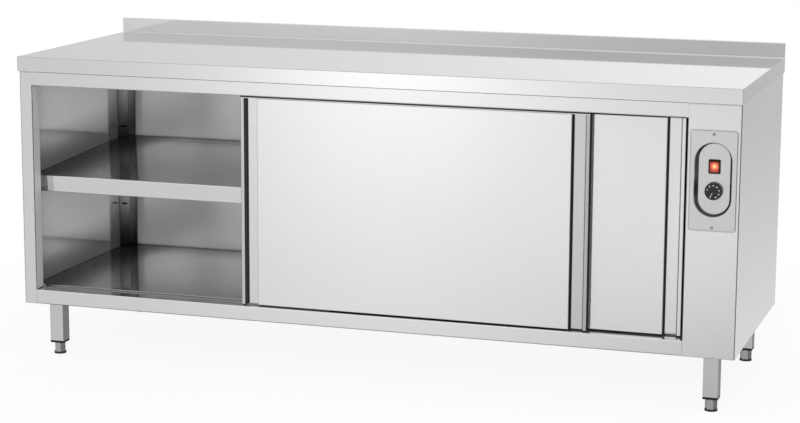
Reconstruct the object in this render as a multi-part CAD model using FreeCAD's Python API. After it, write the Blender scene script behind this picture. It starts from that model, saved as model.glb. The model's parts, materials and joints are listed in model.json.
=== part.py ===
# Heated plate cabinet with a stainless worktop, two sliding doors and levelling feet.
# Millimetres. X runs along the cabinet, the front faces -Y, Z is up from the floor.
# The origin is on the floor, under the middle of the worktop.
import FreeCAD, Part
import math
import os

# Overall size
overall_length = 2000.0
overall_depth = 700.0
worktop_height = 850.0
ground_clearance = 156.0

# Sheet metal
outer_sheet = 1.2
liner_sheet = 0.8
channel_sheet = 2.0
fold_radius = 1.5
light_fold_radius = 0.8
fold_reach_share = 0.48
cut_overrun = 5.0
matching_share = 0.01
straightness_share = 1e-6
free_fit = 0.3

# Worktop
worktop_edge_height = 40.0
worktop_return = 10.0
worktop_edge_radius = 1.8
upstand_height = 43.0
upstand_thickness = 12.0
upstand_cove_radius = 3.0
board_thickness = 18.0
stiffener_width = 36.0
stiffener_brim = 12.0
front_overhang = 9.0
side_overhang = 2.0
rear_overhang = 10.0

# Front frame
post_width = 37.0
post_depth = 40.0
top_rail_height = 39.0
top_rail_lip = 8.0
bottom_rail_height = 40.0
control_panel_width = 136.0

# Heated chamber
side_wall_thickness = 7.0
back_wall_thickness = 18.0
floor_step = 4.0
ceiling_gap = 3.0
cover_flange = 20.0

# Doors
door_overlap = 93.0
door_thickness = 20.0
door_top_gap = 7.0
door_bottom_gap = 4.0
door_setback = 9.0
door_gap = 5.0
door_rear_gap = 3.0
front_door_opening = 613.0
rear_door_opening = 10.0
door_skin = 1.0
handle_sheet = 1.2
handle_width = 48.0
handle_lip = 10.0
handle_depth = 15.0
handle_slope = 4.0
handle_cap = 3.0
guide_slot_height = 12.0

# Door running gear
hanger_inset = 120.0
hanger_width = 40.0
hanger_sheet = 2.0
hanger_setback = 3.5
hanger_reach = 30.0
hanger_top_margin = 9.0
roller_radius = 11.0
roller_width = 6.0
roller_setback = 9.0
roller_lift = 0.3
axle_radius = 3.0
axle_clearance = 0.05
axle_head_radius = 4.6
axle_head_height = 1.4
axle_end_play = 0.3
axle_ring_width = 0.6
track_sheet = 2.0
track_rise = 4.0
track_lip = 2.5
track_side_gap = 1.5
track_stop_length = 16.0
door_stop_margin = 1.0
track_ledge_setback = 6.0
track_flange_setback = 2.0

# Floor guide of the doors
guide_length = 40.0
guide_base = 1.5
guide_fin = 1.6
guide_gap = 0.6
guide_fin_engagement = 8.0

# Legs and feet
leg_size = 40.0
leg_wall = 1.5
leg_end_inset = 50.0
front_leg_inset = 62.0
rear_leg_inset = 48.0
foot_pad_height = 5.0
foot_pad_radius = 17.0
foot_hex_across_flats = 28.0
foot_hex_height = 28.0
foot_hex_chamfer = 1.2
hexagon_sides = 6
foot_stem_radius = 6.0
foot_stem_length = 58.0
foot_thread_clearance = 0.1
insert_collar_height = 6.0
insert_plug_height = 30.0

# Shelf and its supports
shelf_above_floor = 312.0
shelf_rear_rise = 24.0
shelf_rear_gap = 3.0
shelf_end_gap = 1.0
shelf_flange = 46.0
shelf_return = 12.0
shelf_hole_radius = 2.0
shelf_hole_pitch = 61.8
shelf_hole_end_margin = 165.0
shelf_outer_row_inset = 88.0
shelf_inner_row_inset = 135.0
upright_width = 33.0
upright_depth = 52.0
front_upright_width = 20.0
front_upright_depth = 15.0
upright_slot_width = 16.0
upright_slot_height = 5.0
upright_slot_pitch = 119.0
upright_slot_count = 3
slot_below_shelf = 59.0
bracket_sheet = 2.5
bracket_width = 14.0
bracket_ledge = 30.0
bracket_ledge_drop = 5.0
bracket_hook = 5.0
bracket_overlap = 34.0

# Control plate
plate_side_margin = 8.5
plate_height = 255.0
plate_proud = 5.0
plate_corner_radius = 5.0
plate_edge_radius = 3.5
plate_top_margin = 69.0
dish_side_margin = 11.0
dish_end_margin = 32.0
dish_rise = 3.0
dish_depth = 20.0
dish_side_slope = 8.5
dish_end_slope = 5.0
dish_sheet = 1.0
dish_clearance = 1.5
plate_screw_margin = 8.5
plate_screw_radius = 3.6
plate_screw_head = 1.6
plate_screw_shank = 1.8
plate_screw_fit = 0.1
plate_screw_reach = 10.0
plate_screw_slot = 1.0

# Switch
switch_above_dish_middle = 31.5
switch_frame_width = 30.0
switch_frame_height = 36.0
switch_frame_proud = 3.0
switch_frame_radius = 2.5
switch_body_depth = 26.0
switch_body_margin = 1.5
switch_side_rim = 4.0
switch_end_rim = 5.0
rocker_proud = 4.0
rocker_dip = 2.2
rocker_depth = 8.0
rocker_gap = 0.8
rocker_swing_gap = 1.6
rocker_pin_radius = 1.5
rocker_pin_reach = 1.6
rocker_pin_clearance = 0.08
rocker_tilt_angle = 7.0

# Thermostat
knob_below_dish_middle = 30.5
knob_radius = 22.0
knob_height = 13.0
knob_edge_radius = 2.0
knob_stand_off = 0.8
knob_stem_radius = 4.0
knob_stem_reach = 12.0
knob_stem_clearance = 0.08
thermostat_size = 42.0
thermostat_depth = 30.0
capillary_radius = 1.2
capillary_bend = 25.0
bulb_radius = 4.0
bulb_length = 80.0
bulb_above_floor = 360.0
bulb_setback = 150.0

# Heating compartment
fan_above_floor = 280.0
fan_setback = 400.0
fan_duct_radius = 75.0
fan_box_margin = 13.0
fan_box_sheet = 1.5
fan_blade_gap = 3.0
fan_blade_depth = 16.0
fan_blade_sheet = 1.6
fan_blade_count = 7
fan_blade_pitch_angle = 35.0
fan_hub_radius = 30.0
fan_hub_depth = 20.0
fan_hub_clearance = 2.0
motor_radius = 34.0
motor_wall_gap = 20.5
motor_arm_width = 12.0
motor_shaft_radius = 4.0
motor_shaft_reach = 12.0
motor_shaft_clearance = 0.05
grille_slot_length = 130.0
grille_slot_height = 6.0
grille_slot_pitch = 16.0
grille_slot_count = 8
heater_rod_radius = 4.0
heater_rod_spacing = 36.0
heater_run_count = 4
heater_rod_length = 96.0
heater_standoff = 12.0
heater_fan_gap = 6.0
heater_flange_height = 14.0
heater_flange_margin = 10.0
heater_flange_sheet = 2.0
terminal_length = 70.0
terminal_width = 26.0
terminal_height = 24.0
terminal_setback = 70.0
gland_above_floor = 35.0
gland_offset = 52.0
gland_radius = 9.0
gland_flange_radius = 13.0
gland_flange_height = 5.0
gland_nose_height = 4.0
gland_reach = 14.0
gland_bore_radius = 5.0
gland_fit = 0.2
loom_radius = 4.0
loom_bend = 32.0
loom_wall_gap = 0.5
loom_below_switch = 8.0

# Reference planes worked out from the sizes above
body_left = -overall_length / 2 + side_overhang
body_right = -body_left
body_front = -overall_depth / 2 + front_overhang
body_rear = overall_depth / 2 - rear_overhang
body_bottom = ground_clearance
body_top = worktop_height - worktop_edge_height
post_back = body_front + post_depth
opening_left = body_left + post_width
opening_right = body_right - control_panel_width
opening_top = body_top - top_rail_height
opening_bottom = body_bottom + bottom_rail_height
chamber_left = body_left + side_wall_thickness
chamber_right = opening_right + post_width - side_wall_thickness
chamber_rear = body_rear - back_wall_thickness
door_spacing = door_thickness + door_gap
chamber_front = body_front + door_setback + door_spacing + door_thickness + door_rear_gap
chamber_floor = opening_bottom + floor_step
ceiling_top = body_top - outer_sheet
chamber_top = ceiling_top - liner_sheet
deck_under = opening_bottom - outer_sheet
floor_under = chamber_floor - liner_sheet
board_under = worktop_height - outer_sheet - board_thickness
door_top = opening_top - door_top_gap
door_bottom = opening_bottom + door_bottom_gap
door_width = (opening_right - opening_left + door_overlap) / 2
front_door_left = opening_left + front_door_opening
rear_door_left = opening_right - rear_door_opening - door_width
front_door_face = body_front + door_setback
rear_door_face = front_door_face + door_spacing
leg_centre = overall_length / 2 - leg_end_inset - leg_size / 2
front_leg_centre = -overall_depth / 2 + front_leg_inset + leg_size / 2
rear_leg_centre = overall_depth / 2 - rear_leg_inset - leg_size / 2
leg_places = {
    "front_left": (-leg_centre, front_leg_centre),
    "front_right": (leg_centre, front_leg_centre),
    "rear_left": (-leg_centre, rear_leg_centre),
    "rear_right": (leg_centre, rear_leg_centre),
}
leg_bottom = foot_pad_height + foot_hex_height + insert_collar_height
channel_half = leg_size / 2 + free_fit + channel_sheet
plate_width = control_panel_width - plate_side_margin * 2
dish_width = plate_width - dish_side_margin * 2
dish_height = plate_height - dish_end_margin * 2
control_x = (opening_right + body_right) / 2
control_z = body_top - plate_top_margin - plate_height / 2
dish_z = control_z + dish_rise
plate_face = body_front - plate_proud
dish_face = plate_face + dish_depth
dish_back = dish_face + dish_sheet
rocker_width = switch_frame_width - switch_side_rim * 2
rocker_height = switch_frame_height - switch_end_rim * 2
switch_z = dish_z + switch_above_dish_middle
knob_z = dish_z - knob_below_dish_middle
compartment_left = chamber_right + liner_sheet
compartment_right = body_right - outer_sheet
fan_y = -overall_depth / 2 + fan_setback
fan_height = chamber_floor + fan_above_floor
fan_box_size = (fan_duct_radius + fan_box_margin) * 2
fan_box_depth = (heater_standoff + heater_rod_radius + heater_fan_gap + fan_hub_depth
                 + fan_hub_clearance)
motor_depth = compartment_right - compartment_left - fan_box_depth - fan_box_sheet - motor_wall_gap
gland_height = chamber_floor + gland_above_floor
shelf_front_height = chamber_floor + shelf_above_floor
shelf_depth = chamber_rear - upright_depth - chamber_front - shelf_rear_gap
upright_middle_slot = shelf_front_height - slot_below_shelf

X = FreeCAD.Vector(1, 0, 0)
Y = FreeCAD.Vector(0, 1, 0)
Z = FreeCAD.Vector(0, 0, 1)
nodes = {}


# Basic shapes
def box(x0, x1, y0, y1, z0, z1):
    corner = FreeCAD.Vector(x0, y0, z0)
    return Part.makeBox(x1 - x0, y1 - y0, z1 - z0, corner)


def rod(centre, axis, radius, length):
    return Part.makeCylinder(radius, length, FreeCAD.Vector(*centre), axis)


def joined(shapes):
    result = shapes[0]
    for shape in shapes[1:]:
        result = result.fuse(shape)
    return result.removeSplitter()


# Flat outlines lie in the plane square to one axis, at a given place along it
def on_plane(axis, offset):
    def place(a, b):
        if axis == "x":
            return FreeCAD.Vector(offset, a, b)
        if axis == "y":
            return FreeCAD.Vector(a, offset, b)
        return FreeCAD.Vector(a, b, offset)
    return place


def direction(start, end):
    length = math.hypot(end[0] - start[0], end[1] - start[1])
    return ((end[0] - start[0]) / length, (end[1] - start[1]) / length)


def fold_side(points, index):
    before = direction(points[index - 1], points[index])
    after = direction(points[index], points[index + 1])
    return before[0] * after[1] - before[1] * after[0]


# The line at a distance to the left of a folded line, mitred at each fold
def parallel_line(points, distance):
    result = []
    last = len(points) - 1
    for index, point in enumerate(points):
        before = direction(points[max(index - 1, 0)], points[max(index, 1)])
        after = direction(points[min(index, last - 1)], points[min(index + 1, last)])
        dot = before[0] * after[0] + before[1] * after[1]
        reach = distance / (1 + dot)
        result.append((point[0] - (before[1] + after[1]) * reach,
                       point[1] + (before[0] + after[0]) * reach))
    return result


# Edges along an open line, with an arc of its own radius at each inner corner
def rounded_edges(points, radii, place):
    edges = []
    start = points[0]
    for index in range(1, len(points) - 1):
        corner = points[index]
        back = direction(corner, points[index - 1])
        ahead = direction(corner, points[index + 1])
        half = math.acos(back[0] * ahead[0] + back[1] * ahead[1]) / 2
        shorter = min(math.dist(corner, points[index - 1]), math.dist(corner, points[index + 1]))
        reach = min(radii[index] / math.tan(half), shorter * fold_reach_share)
        radius = reach * math.tan(half)
        bisector = direction((0, 0), (back[0] + ahead[0], back[1] + ahead[1]))
        depth = radius / math.sin(half) - radius
        first = (corner[0] + back[0] * reach, corner[1] + back[1] * reach)
        second = (corner[0] + ahead[0] * reach, corner[1] + ahead[1] * reach)
        middle = (corner[0] + bisector[0] * depth, corner[1] + bisector[1] * depth)
        edges.append(Part.makeLine(place(*start), place(*first)))
        edges.append(Part.Arc(place(*first), place(*middle), place(*second)).toShape())
        start = second
    edges.append(Part.makeLine(place(*start), place(*points[-1])))
    return edges


# A sheet folded along an open line. The sheet lies to the left of the line.
def folded(points, sheet, inner_radius, axis, start, end):
    place = on_plane(axis, start)
    offset = parallel_line(points, sheet)
    near = [0] * len(points)
    far = [0] * len(points)
    for index in range(1, len(points) - 1):
        turns_left = fold_side(points, index) > 0
        near[index] = inner_radius + sheet if turns_left else inner_radius
        far[index] = inner_radius if turns_left else inner_radius + sheet
    edges = rounded_edges(points, near, place)
    edges.append(Part.makeLine(place(*points[-1]), place(*offset[-1])))
    edges.extend(rounded_edges(offset[::-1], far[::-1], place))
    edges.append(Part.makeLine(place(*offset[0]), place(*points[0])))
    face = Part.Face(Part.Wire(Part.__sortEdges__(edges)))
    return face.extrude({"x": X, "y": Y, "z": Z}[axis] * (end - start))


# A tube or rod along straight runs joined by tangent arcs
def run_of_tube(points, radius, bend):
    vectors = [FreeCAD.Vector(*point) for point in points]
    edges = []
    start = vectors[0]
    for before, corner, after in zip(vectors, vectors[1:], vectors[2:]):
        back = (before - corner).normalize()
        ahead = (after - corner).normalize()
        half = back.getAngle(ahead) / 2
        reach = bend / math.tan(half)
        bisector = (back + ahead).normalize()
        first = corner + back * reach
        second = corner + ahead * reach
        middle = corner + bisector * (bend / math.sin(half) - bend)
        edges.append(Part.makeLine(start, first))
        edges.append(Part.Arc(first, middle, second).toShape())
        start = second
    edges.append(Part.makeLine(start, vectors[-1]))
    spine = Part.Wire(edges)
    heading = (vectors[1] - vectors[0]).normalize()
    section = Part.Wire([Part.makeCircle(radius, vectors[0], heading)])
    return spine.makePipeShell([section], True, False)


# A closed outline with round ends, taller than it is wide, square to Y
def stadium(width, height, y, centre_x, centre_z):
    radius = width / 2
    straight = height / 2 - radius
    left = centre_x - radius
    right = centre_x + radius
    top = centre_z + straight
    bottom = centre_z - straight
    point = on_plane("y", y)
    crown = Part.Arc(point(left, top), point(centre_x, top + radius), point(right, top))
    base = Part.Arc(point(right, bottom), point(centre_x, bottom - radius), point(left, bottom))
    edges = [
        Part.makeLine(point(left, bottom), point(left, top)),
        crown.toShape(),
        Part.makeLine(point(right, top), point(right, bottom)),
        base.toShape(),
    ]
    return Part.Wire(edges)


def edges_along(shape, axis_index, test):
    found = []
    for edge in shape.Edges:
        if len(edge.Vertexes) < 2:
            continue
        start = edge.Vertexes[0].Point
        end = edge.Vertexes[1].Point
        moved = [abs(end[i] - start[i]) for i in range(3)]
        along = moved[axis_index]
        across = sum(moved) - along
        if along > 0 and across < along * straightness_share and test(start, end):
            found.append(edge)
    return found


def close(value, target):
    return abs(value - target) < outer_sheet * matching_share


# Worktop: one folded sheet with an edge all round and an upstand at the rear
def make_worktop():
    half = overall_length / 2
    front = -overall_depth / 2
    rear = overall_depth / 2
    top = worktop_height
    upstand_top = top + upstand_height
    upstand_front = rear - upstand_thickness
    slab = box(-half, half, front, rear, body_top, top)
    upstand = box(-half, half, upstand_front, rear, top, upstand_top)
    shell = slab.fuse(upstand).removeSplitter()
    cove = edges_along(shell, 0, lambda a, b: close(a.y, upstand_front) and close(a.z, top))
    shell = shell.makeFillet(upstand_cove_radius, cove)

    def is_outer_edge(a, b):
        on_front = close(a.y, front) and close(b.y, front) and close(a.z, top)
        on_upstand = close(a.z, upstand_top) and close(b.z, upstand_top)
        return on_front or on_upstand

    outer = edges_along(shell, 0, is_outer_edge)
    outer += edges_along(shell, 2, lambda a, b: close(a.y, front))
    shell = shell.makeFillet(worktop_edge_radius, outer)
    inside = box(-half + outer_sheet, half - outer_sheet, front + outer_sheet, rear - outer_sheet,
                 body_top + outer_sheet, top - outer_sheet)
    mouth = box(-half + worktop_return, half - worktop_return, front + worktop_return,
                rear - worktop_return, body_top - cut_overrun, body_top + cut_overrun)
    upstand_inside = box(-half + outer_sheet, half - outer_sheet, upstand_front + outer_sheet,
                         rear - outer_sheet, top - cut_overrun, upstand_top - outer_sheet)
    nodes["worktop"] = shell.cut(inside).cut(mouth).cut(upstand_inside)
    nodes["worktop_board"] = box(-half + outer_sheet, half - outer_sheet, front + outer_sheet,
                                 rear - outer_sheet, board_under, top - outer_sheet)


# Hat-shaped channels that carry the worktop on the cabinet body
def stiffener_centres():
    front = (body_front + chamber_front) / 2
    rear = body_rear - stiffener_width / 2 - (back_wall_thickness - liner_sheet) / 2
    return [front, (front + rear) / 2, rear]


def make_stiffeners():
    half = stiffener_width / 2
    bottom = body_top + channel_sheet
    shapes = []
    for centre in stiffener_centres():
        outline = [
            (centre + half + stiffener_brim, board_under),
            (centre + half - channel_sheet, board_under),
            (centre + half - channel_sheet, bottom),
            (centre - half + channel_sheet, bottom),
            (centre - half + channel_sheet, board_under),
            (centre - half - stiffener_brim, board_under),
        ]
        reach = overall_length / 2 - worktop_return
        shapes.append(folded(outline, channel_sheet, light_fold_radius, "x", -reach, reach))
    nodes["worktop_stiffeners"] = Part.makeCompound(shapes)


# Outer sheets: each side wraps the front corner, the left one forms the post
# and the right one the control panel
def make_outer_sheets():
    left = [(body_left, body_rear), (body_left, body_front), (opening_left, body_front),
            (opening_left, post_back), (chamber_left - liner_sheet, post_back)]
    nodes["left_outer_panel"] = folded(left, outer_sheet, fold_radius, "z", body_bottom, body_top)
    right = [(compartment_left, post_back), (opening_right, post_back), (opening_right, body_front),
             (body_right, body_front), (body_right, body_rear)]
    panel = folded(right, outer_sheet, fold_radius, "z", body_bottom, body_top)
    half_width = dish_width / 2 + dish_sheet + dish_clearance
    half_height = dish_height / 2 + dish_sheet + dish_clearance
    window = box(control_x - half_width, control_x + half_width, body_front - cut_overrun,
                 body_front + cut_overrun, dish_z - half_height, dish_z + half_height)
    panel = panel.cut(window)
    for screw_z in plate_screw_heights():
        hole = rod((control_x, body_front - cut_overrun, screw_z), Y, plate_screw_shank,
                   cut_overrun * 2)
        panel = panel.cut(hole)
    nodes["right_outer_panel"] = panel
    rear_return = back_wall_thickness - liner_sheet
    back = [(body_rear - rear_return, body_bottom), (body_rear, body_bottom), (body_rear, body_top),
            (body_rear - rear_return, body_top)]
    panel = folded(back, outer_sheet, fold_radius, "x", body_left + outer_sheet,
                   body_right - outer_sheet)
    hole = rod((gland_x(), body_rear - cut_overrun, gland_height), Y, gland_radius + gland_fit,
               cut_overrun * 2)
    nodes["back_panel"] = panel.cut(hole)


def plate_screw_heights():
    return [control_z + plate_height / 2 - plate_screw_margin,
            control_z - plate_height / 2 + plate_screw_margin]


def gland_x():
    return compartment_left + gland_offset


# Rails over and under the door opening
def make_rails():
    top = [(chamber_front, body_top), (body_front, body_top), (body_front, opening_top),
           (body_front + top_rail_lip, opening_top)]
    nodes["front_top_rail"] = folded(top, outer_sheet, fold_radius, "x", opening_left, opening_right)
    bottom = [(chamber_front, opening_bottom), (body_front, opening_bottom),
              (body_front, body_bottom), (post_back, body_bottom)]
    nodes["front_bottom_rail"] = folded(bottom, outer_sheet, fold_radius, "x", opening_left,
                                        opening_right)


# Lining of the heated chamber
def make_lining():
    nodes["left_wall_liner"] = box(chamber_left - liner_sheet, chamber_left, post_back,
                                   chamber_rear, floor_under, chamber_top)
    nodes["back_wall_liner"] = box(chamber_left - liner_sheet, compartment_left, chamber_rear,
                                   chamber_rear + liner_sheet, floor_under, ceiling_top)
    wall = box(chamber_right, compartment_left, post_back, chamber_rear, floor_under, chamber_top)
    first = fan_height - grille_slot_pitch * (grille_slot_count - 1) / 2
    for index in range(grille_slot_count):
        z = first + index * grille_slot_pitch
        wall = wall.cut(box(chamber_right - cut_overrun, compartment_left + cut_overrun,
                            fan_y - grille_slot_length / 2, fan_y + grille_slot_length / 2,
                            z - grille_slot_height / 2, z + grille_slot_height / 2))
    nodes["compartment_wall"] = wall
    nodes["ceiling_liner"] = box(chamber_left - liner_sheet, compartment_left,
                                 chamber_front - ceiling_gap, chamber_rear, chamber_top, ceiling_top)
    pan = [(chamber_rear, chamber_floor), (chamber_front, chamber_floor),
           (chamber_front, deck_under)]
    floor = folded(pan, liner_sheet, light_fold_radius, "x", chamber_left, chamber_right)
    nodes["floor_pan"] = floor
    nodes["compartment_floor"] = box(compartment_left, compartment_right,
                                     chamber_front + liner_sheet, chamber_rear, floor_under,
                                     floor_under + outer_sheet)


# Underside: a tray between the legs and small caps under the two front boxes
def make_bottom_covers():
    inner = body_right - outer_sheet
    tray = [(-inner, body_bottom + cover_flange), (-inner, body_bottom), (inner, body_bottom),
            (inner, body_bottom + cover_flange)]
    cover = folded(tray, outer_sheet, light_fold_radius, "y", post_back,
                   body_rear - back_wall_thickness + liner_sheet)
    reach = leg_size / 2 + free_fit
    for x, y in leg_places.values():
        cover = cover.cut(box(x - reach, x + reach, y - reach, y + reach,
                              body_bottom - cut_overrun, body_bottom + cut_overrun))
    cap_front = body_front + outer_sheet
    cap_rear = post_back - outer_sheet
    cap_top = body_bottom + outer_sheet
    caps = [box(-inner, opening_left - outer_sheet, cap_front, cap_rear, body_bottom, cap_top),
            box(opening_right + outer_sheet, inner, cap_front, cap_rear, body_bottom, cap_top)]
    caps = [cap.makeFillet(fold_radius, edges_along(cap, 2, lambda a, b: True)) for cap in caps]
    nodes["bottom_covers"] = Part.makeCompound([cover] + caps)


# Channels across the base, into which the legs are welded
def cross_member(centre):
    bottom = body_bottom + outer_sheet
    outline = [(centre + channel_half, bottom), (centre + channel_half, deck_under),
               (centre - channel_half, deck_under), (centre - channel_half, bottom)]
    rear = body_rear - outer_sheet - fold_radius
    return folded(outline, channel_sheet, light_fold_radius, "y", post_back, rear)


def make_base():
    members = [cross_member(-leg_centre), cross_member(leg_centre)]
    nodes["cross_members"] = Part.makeCompound(members)
    top = deck_under - channel_sheet - light_fold_radius
    half = leg_size / 2
    legs = []
    inserts = []
    for x, y in leg_places.values():
        outer = box(x - half, x + half, y - half, y + half, leg_bottom, top)
        inner_half = half - leg_wall
        inner = box(x - inner_half, x + inner_half, y - inner_half, y + inner_half,
                    leg_bottom - cut_overrun, top + cut_overrun)
        outer = outer.makeFillet(leg_wall, edges_along(outer, 2, lambda a, b: True))
        legs.append(outer.cut(inner))
        collar_bottom = leg_bottom - insert_collar_height
        collar = box(x - half, x + half, y - half, y + half, collar_bottom, leg_bottom)
        collar = collar.makeFillet(leg_wall, edges_along(collar, 2, lambda a, b: True))
        plug = box(x - inner_half, x + inner_half, y - inner_half, y + inner_half, leg_bottom,
                   leg_bottom + insert_plug_height)
        bore = rod((x, y, collar_bottom - cut_overrun), Z, foot_stem_radius + foot_thread_clearance,
                   insert_collar_height + insert_plug_height + cut_overrun * 2)
        inserts.append(joined([collar, plug]).cut(bore))
    nodes["legs"] = Part.makeCompound(legs)
    nodes["leg_inserts"] = Part.makeCompound(inserts)


# Levelling feet: a hexagon on a round pad, with a threaded stem up into the leg insert
def make_foot(name, x, y):
    pad = rod((x, y, 0), Z, foot_pad_radius, foot_pad_height)
    circle_radius = foot_hex_across_flats / 2 / math.cos(math.pi / hexagon_sides)
    corners = []
    for index in range(hexagon_sides + 1):
        angle = 2 * math.pi / hexagon_sides * index
        corners.append(FreeCAD.Vector(x + circle_radius * math.cos(angle),
                                      y + circle_radius * math.sin(angle), foot_pad_height))
    hexagon = Part.Face(Part.makePolygon(corners)).extrude(Z * foot_hex_height)
    hex_top = foot_pad_height + foot_hex_height
    cone = Part.makeCone(foot_hex_across_flats / 2 + foot_hex_height - foot_hex_chamfer,
                         foot_hex_across_flats / 2 - foot_hex_chamfer, foot_hex_height,
                         FreeCAD.Vector(x, y, foot_pad_height), Z)
    hexagon = hexagon.common(cone)
    stem = rod((x, y, hex_top), Z, foot_stem_radius, foot_stem_length)
    nodes[name] = joined([pad, hexagon, stem])


# Insulation boards behind the lining, over the ceiling and in the floor
def make_insulation():
    left = box(body_left + outer_sheet, chamber_left - liner_sheet, post_back,
               chamber_rear, deck_under, ceiling_top)
    back = box(body_left + outer_sheet, compartment_left, chamber_rear + liner_sheet,
               body_rear - outer_sheet, deck_under, ceiling_top - fold_radius)
    centres = stiffener_centres()
    brim = stiffener_width / 2 + stiffener_brim
    roofs = []
    for before, after in zip(centres, centres[1:]):
        roofs.append(box(worktop_return - overall_length / 2, chamber_right, before + brim,
                         after - brim, ceiling_top, board_under))
    nodes["insulation_boards"] = Part.makeCompound([left, back] + roofs)
    slab = box(body_left + outer_sheet + cover_flange, chamber_right,
               chamber_front + liner_sheet + light_fold_radius, chamber_rear + liner_sheet,
               body_bottom + outer_sheet, floor_under)
    slab = slab.cut(box(-leg_centre - channel_half, -leg_centre + channel_half, chamber_front,
                        body_rear, body_bottom, deck_under))
    nodes["floor_insulation"] = slab


# Sliding doors. Each has a folded front skin, a back skin, a core and two
# handle stiles, in which the finger recess runs the full height.
def make_door(name, left, face):
    right = left + door_width
    back = face + door_thickness
    inner_back = back - door_skin
    slot_front = face + handle_depth + handle_sheet
    panel_left = left + handle_width
    panel_right = right - handle_width
    outline = [(slot_front, door_top), (face, door_top), (face, door_bottom),
               (slot_front, door_bottom)]
    skin = folded(outline, door_skin, light_fold_radius, "x", panel_left + handle_sheet,
                  panel_right - handle_sheet)
    hangers = []
    for centre in hanger_centres(left):
        hangers.append(make_hanger(centre, face))
        skin = skin.cut(hanger_space(centre, face, free_fit))
    nodes[name + "_skin"] = skin
    nodes[name + "_back_skin"] = box(left, right, inner_back, back, door_bottom, door_top)
    skin_depth = door_skin + light_fold_radius
    core = box(panel_left + handle_sheet, panel_right - handle_sheet, face + door_skin, inner_back,
               door_bottom + skin_depth, door_top - skin_depth)
    core = core.cut(box(left, right, slot_front, back, door_bottom,
                        door_bottom + guide_slot_height))
    for centre in hanger_centres(left):
        core = core.cut(hanger_space(centre, face, 0))
    nodes[name + "_core"] = core
    stile = handle_stile(right, face)
    middle = left + door_width / 2
    twin = stile.mirror(FreeCAD.Vector(middle, 0, 0), X)
    nodes[name + "_handles"] = Part.makeCompound([stile, twin])
    nodes[name + "_hangers"] = Part.makeCompound(hangers)
    for side, centre in zip(("left", "right"), hanger_centres(left)):
        nodes[name + "_" + side + "_roller"] = make_roller(centre, face)


# The right handle stile: end wall, lip, recess and the edge under the front skin
def handle_stile(right, face):
    back = face + door_thickness - door_skin
    lip = right - handle_lip
    panel_edge = right - handle_width
    floor_y = face + handle_depth
    outline = [(right, back), (right, face), (lip, face), (lip - handle_slope, floor_y),
               (panel_edge + handle_slope, floor_y), (panel_edge, face)]
    stile = folded(outline[::-1], handle_sheet, light_fold_radius, "z", door_bottom, door_top)
    caps = []
    for start in (door_bottom, door_top - handle_cap):
        caps.append(handle_cap_shape(outline, start))
    return joined([stile] + caps)


# A small cap that closes the hollow lip at the top and bottom of the stile
def handle_cap_shape(outline, start):
    place = on_plane("z", start)
    inner = parallel_line(outline[::-1], handle_sheet)[::-1]
    inside_back = outline[0][1]
    corners = [inner[1], inner[2], inner[3], (inner[3][0], inside_back), (inner[1][0], inside_back)]
    points = [place(*corner) for corner in corners]
    return Part.Face(Part.makePolygon(points + points[:1])).extrude(Z * handle_cap)


def hanger_centres(left):
    return [left + hanger_inset, left + door_width - hanger_inset]


def ledge_top():
    return opening_top + track_rise + track_sheet


def axle_height():
    return ledge_top() + roller_radius + roller_lift


def hanger_space(centre, face, clearance):
    front = face + hanger_setback
    return box(centre - hanger_width / 2 - clearance, centre + hanger_width / 2 + clearance,
               front - clearance, front + hanger_sheet + clearance, door_top - hanger_reach,
               door_top + cut_overrun)


# Hanger plate with its axle: head in front, shoulder, shaft and end ring
def make_hanger(centre, face):
    front = face + hanger_setback
    plate_back = front + hanger_sheet
    plate = box(centre - hanger_width / 2, centre + hanger_width / 2, front, plate_back,
                door_top - hanger_reach, axle_height() + hanger_top_margin)
    z = axle_height()
    wheel_front = face + roller_setback
    wheel_back = wheel_front + roller_width
    head = rod((centre, front - axle_head_height, z), Y, axle_head_radius, axle_head_height)
    shoulder = rod((centre, plate_back, z), Y, axle_head_radius,
                   wheel_front - plate_back - axle_end_play)
    shaft = rod((centre, plate_back, z), Y, axle_radius,
                wheel_back - plate_back + axle_end_play + axle_ring_width)
    ring = rod((centre, wheel_back + axle_end_play, z), Y, axle_head_radius, axle_ring_width)
    return joined([plate, head, shoulder, shaft, ring])


def make_roller(centre, face):
    front = face + roller_setback
    z = axle_height()
    wheel = rod((centre, front, z), Y, roller_radius, roller_width)
    bore = rod((centre, front - cut_overrun, z), Y, axle_radius + axle_clearance,
               roller_width + cut_overrun * 2)
    return wheel.cut(bore)


# A track for each door: flange, web, ledge and retaining lip in one folded strip
def track(face):
    web_back = face + roller_setback + roller_width + track_side_gap + track_sheet
    ledge_front = face + track_ledge_setback
    ledge_under = ledge_top() - track_sheet
    outline = [(face + track_flange_setback, ceiling_top), (web_back, ceiling_top),
               (web_back, ledge_under), (ledge_front, ledge_under),
               (ledge_front, ledge_top() + track_lip)]
    return folded(outline[::-1], track_sheet, light_fold_radius, "x", opening_left, opening_right)


def make_tracks():
    tracks = []
    stops = []
    doors = ((front_door_face, front_door_left), (rear_door_face, rear_door_left))
    for face, left in doors:
        tracks.append(track(face))
        front = face + roller_setback
        reach = hanger_inset - roller_radius + door_stop_margin
        for end, sign in ((opening_left, 1), (opening_right, -1)):
            near = end + sign * reach
            far = near - sign * track_stop_length
            stops.append(box(min(near, far), max(near, far), front, front + roller_width,
                             ledge_top(), ledge_top() + roller_radius))
    nodes["door_tracks"] = Part.makeCompound(tracks)
    nodes["track_stops"] = Part.makeCompound(stops)


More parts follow.
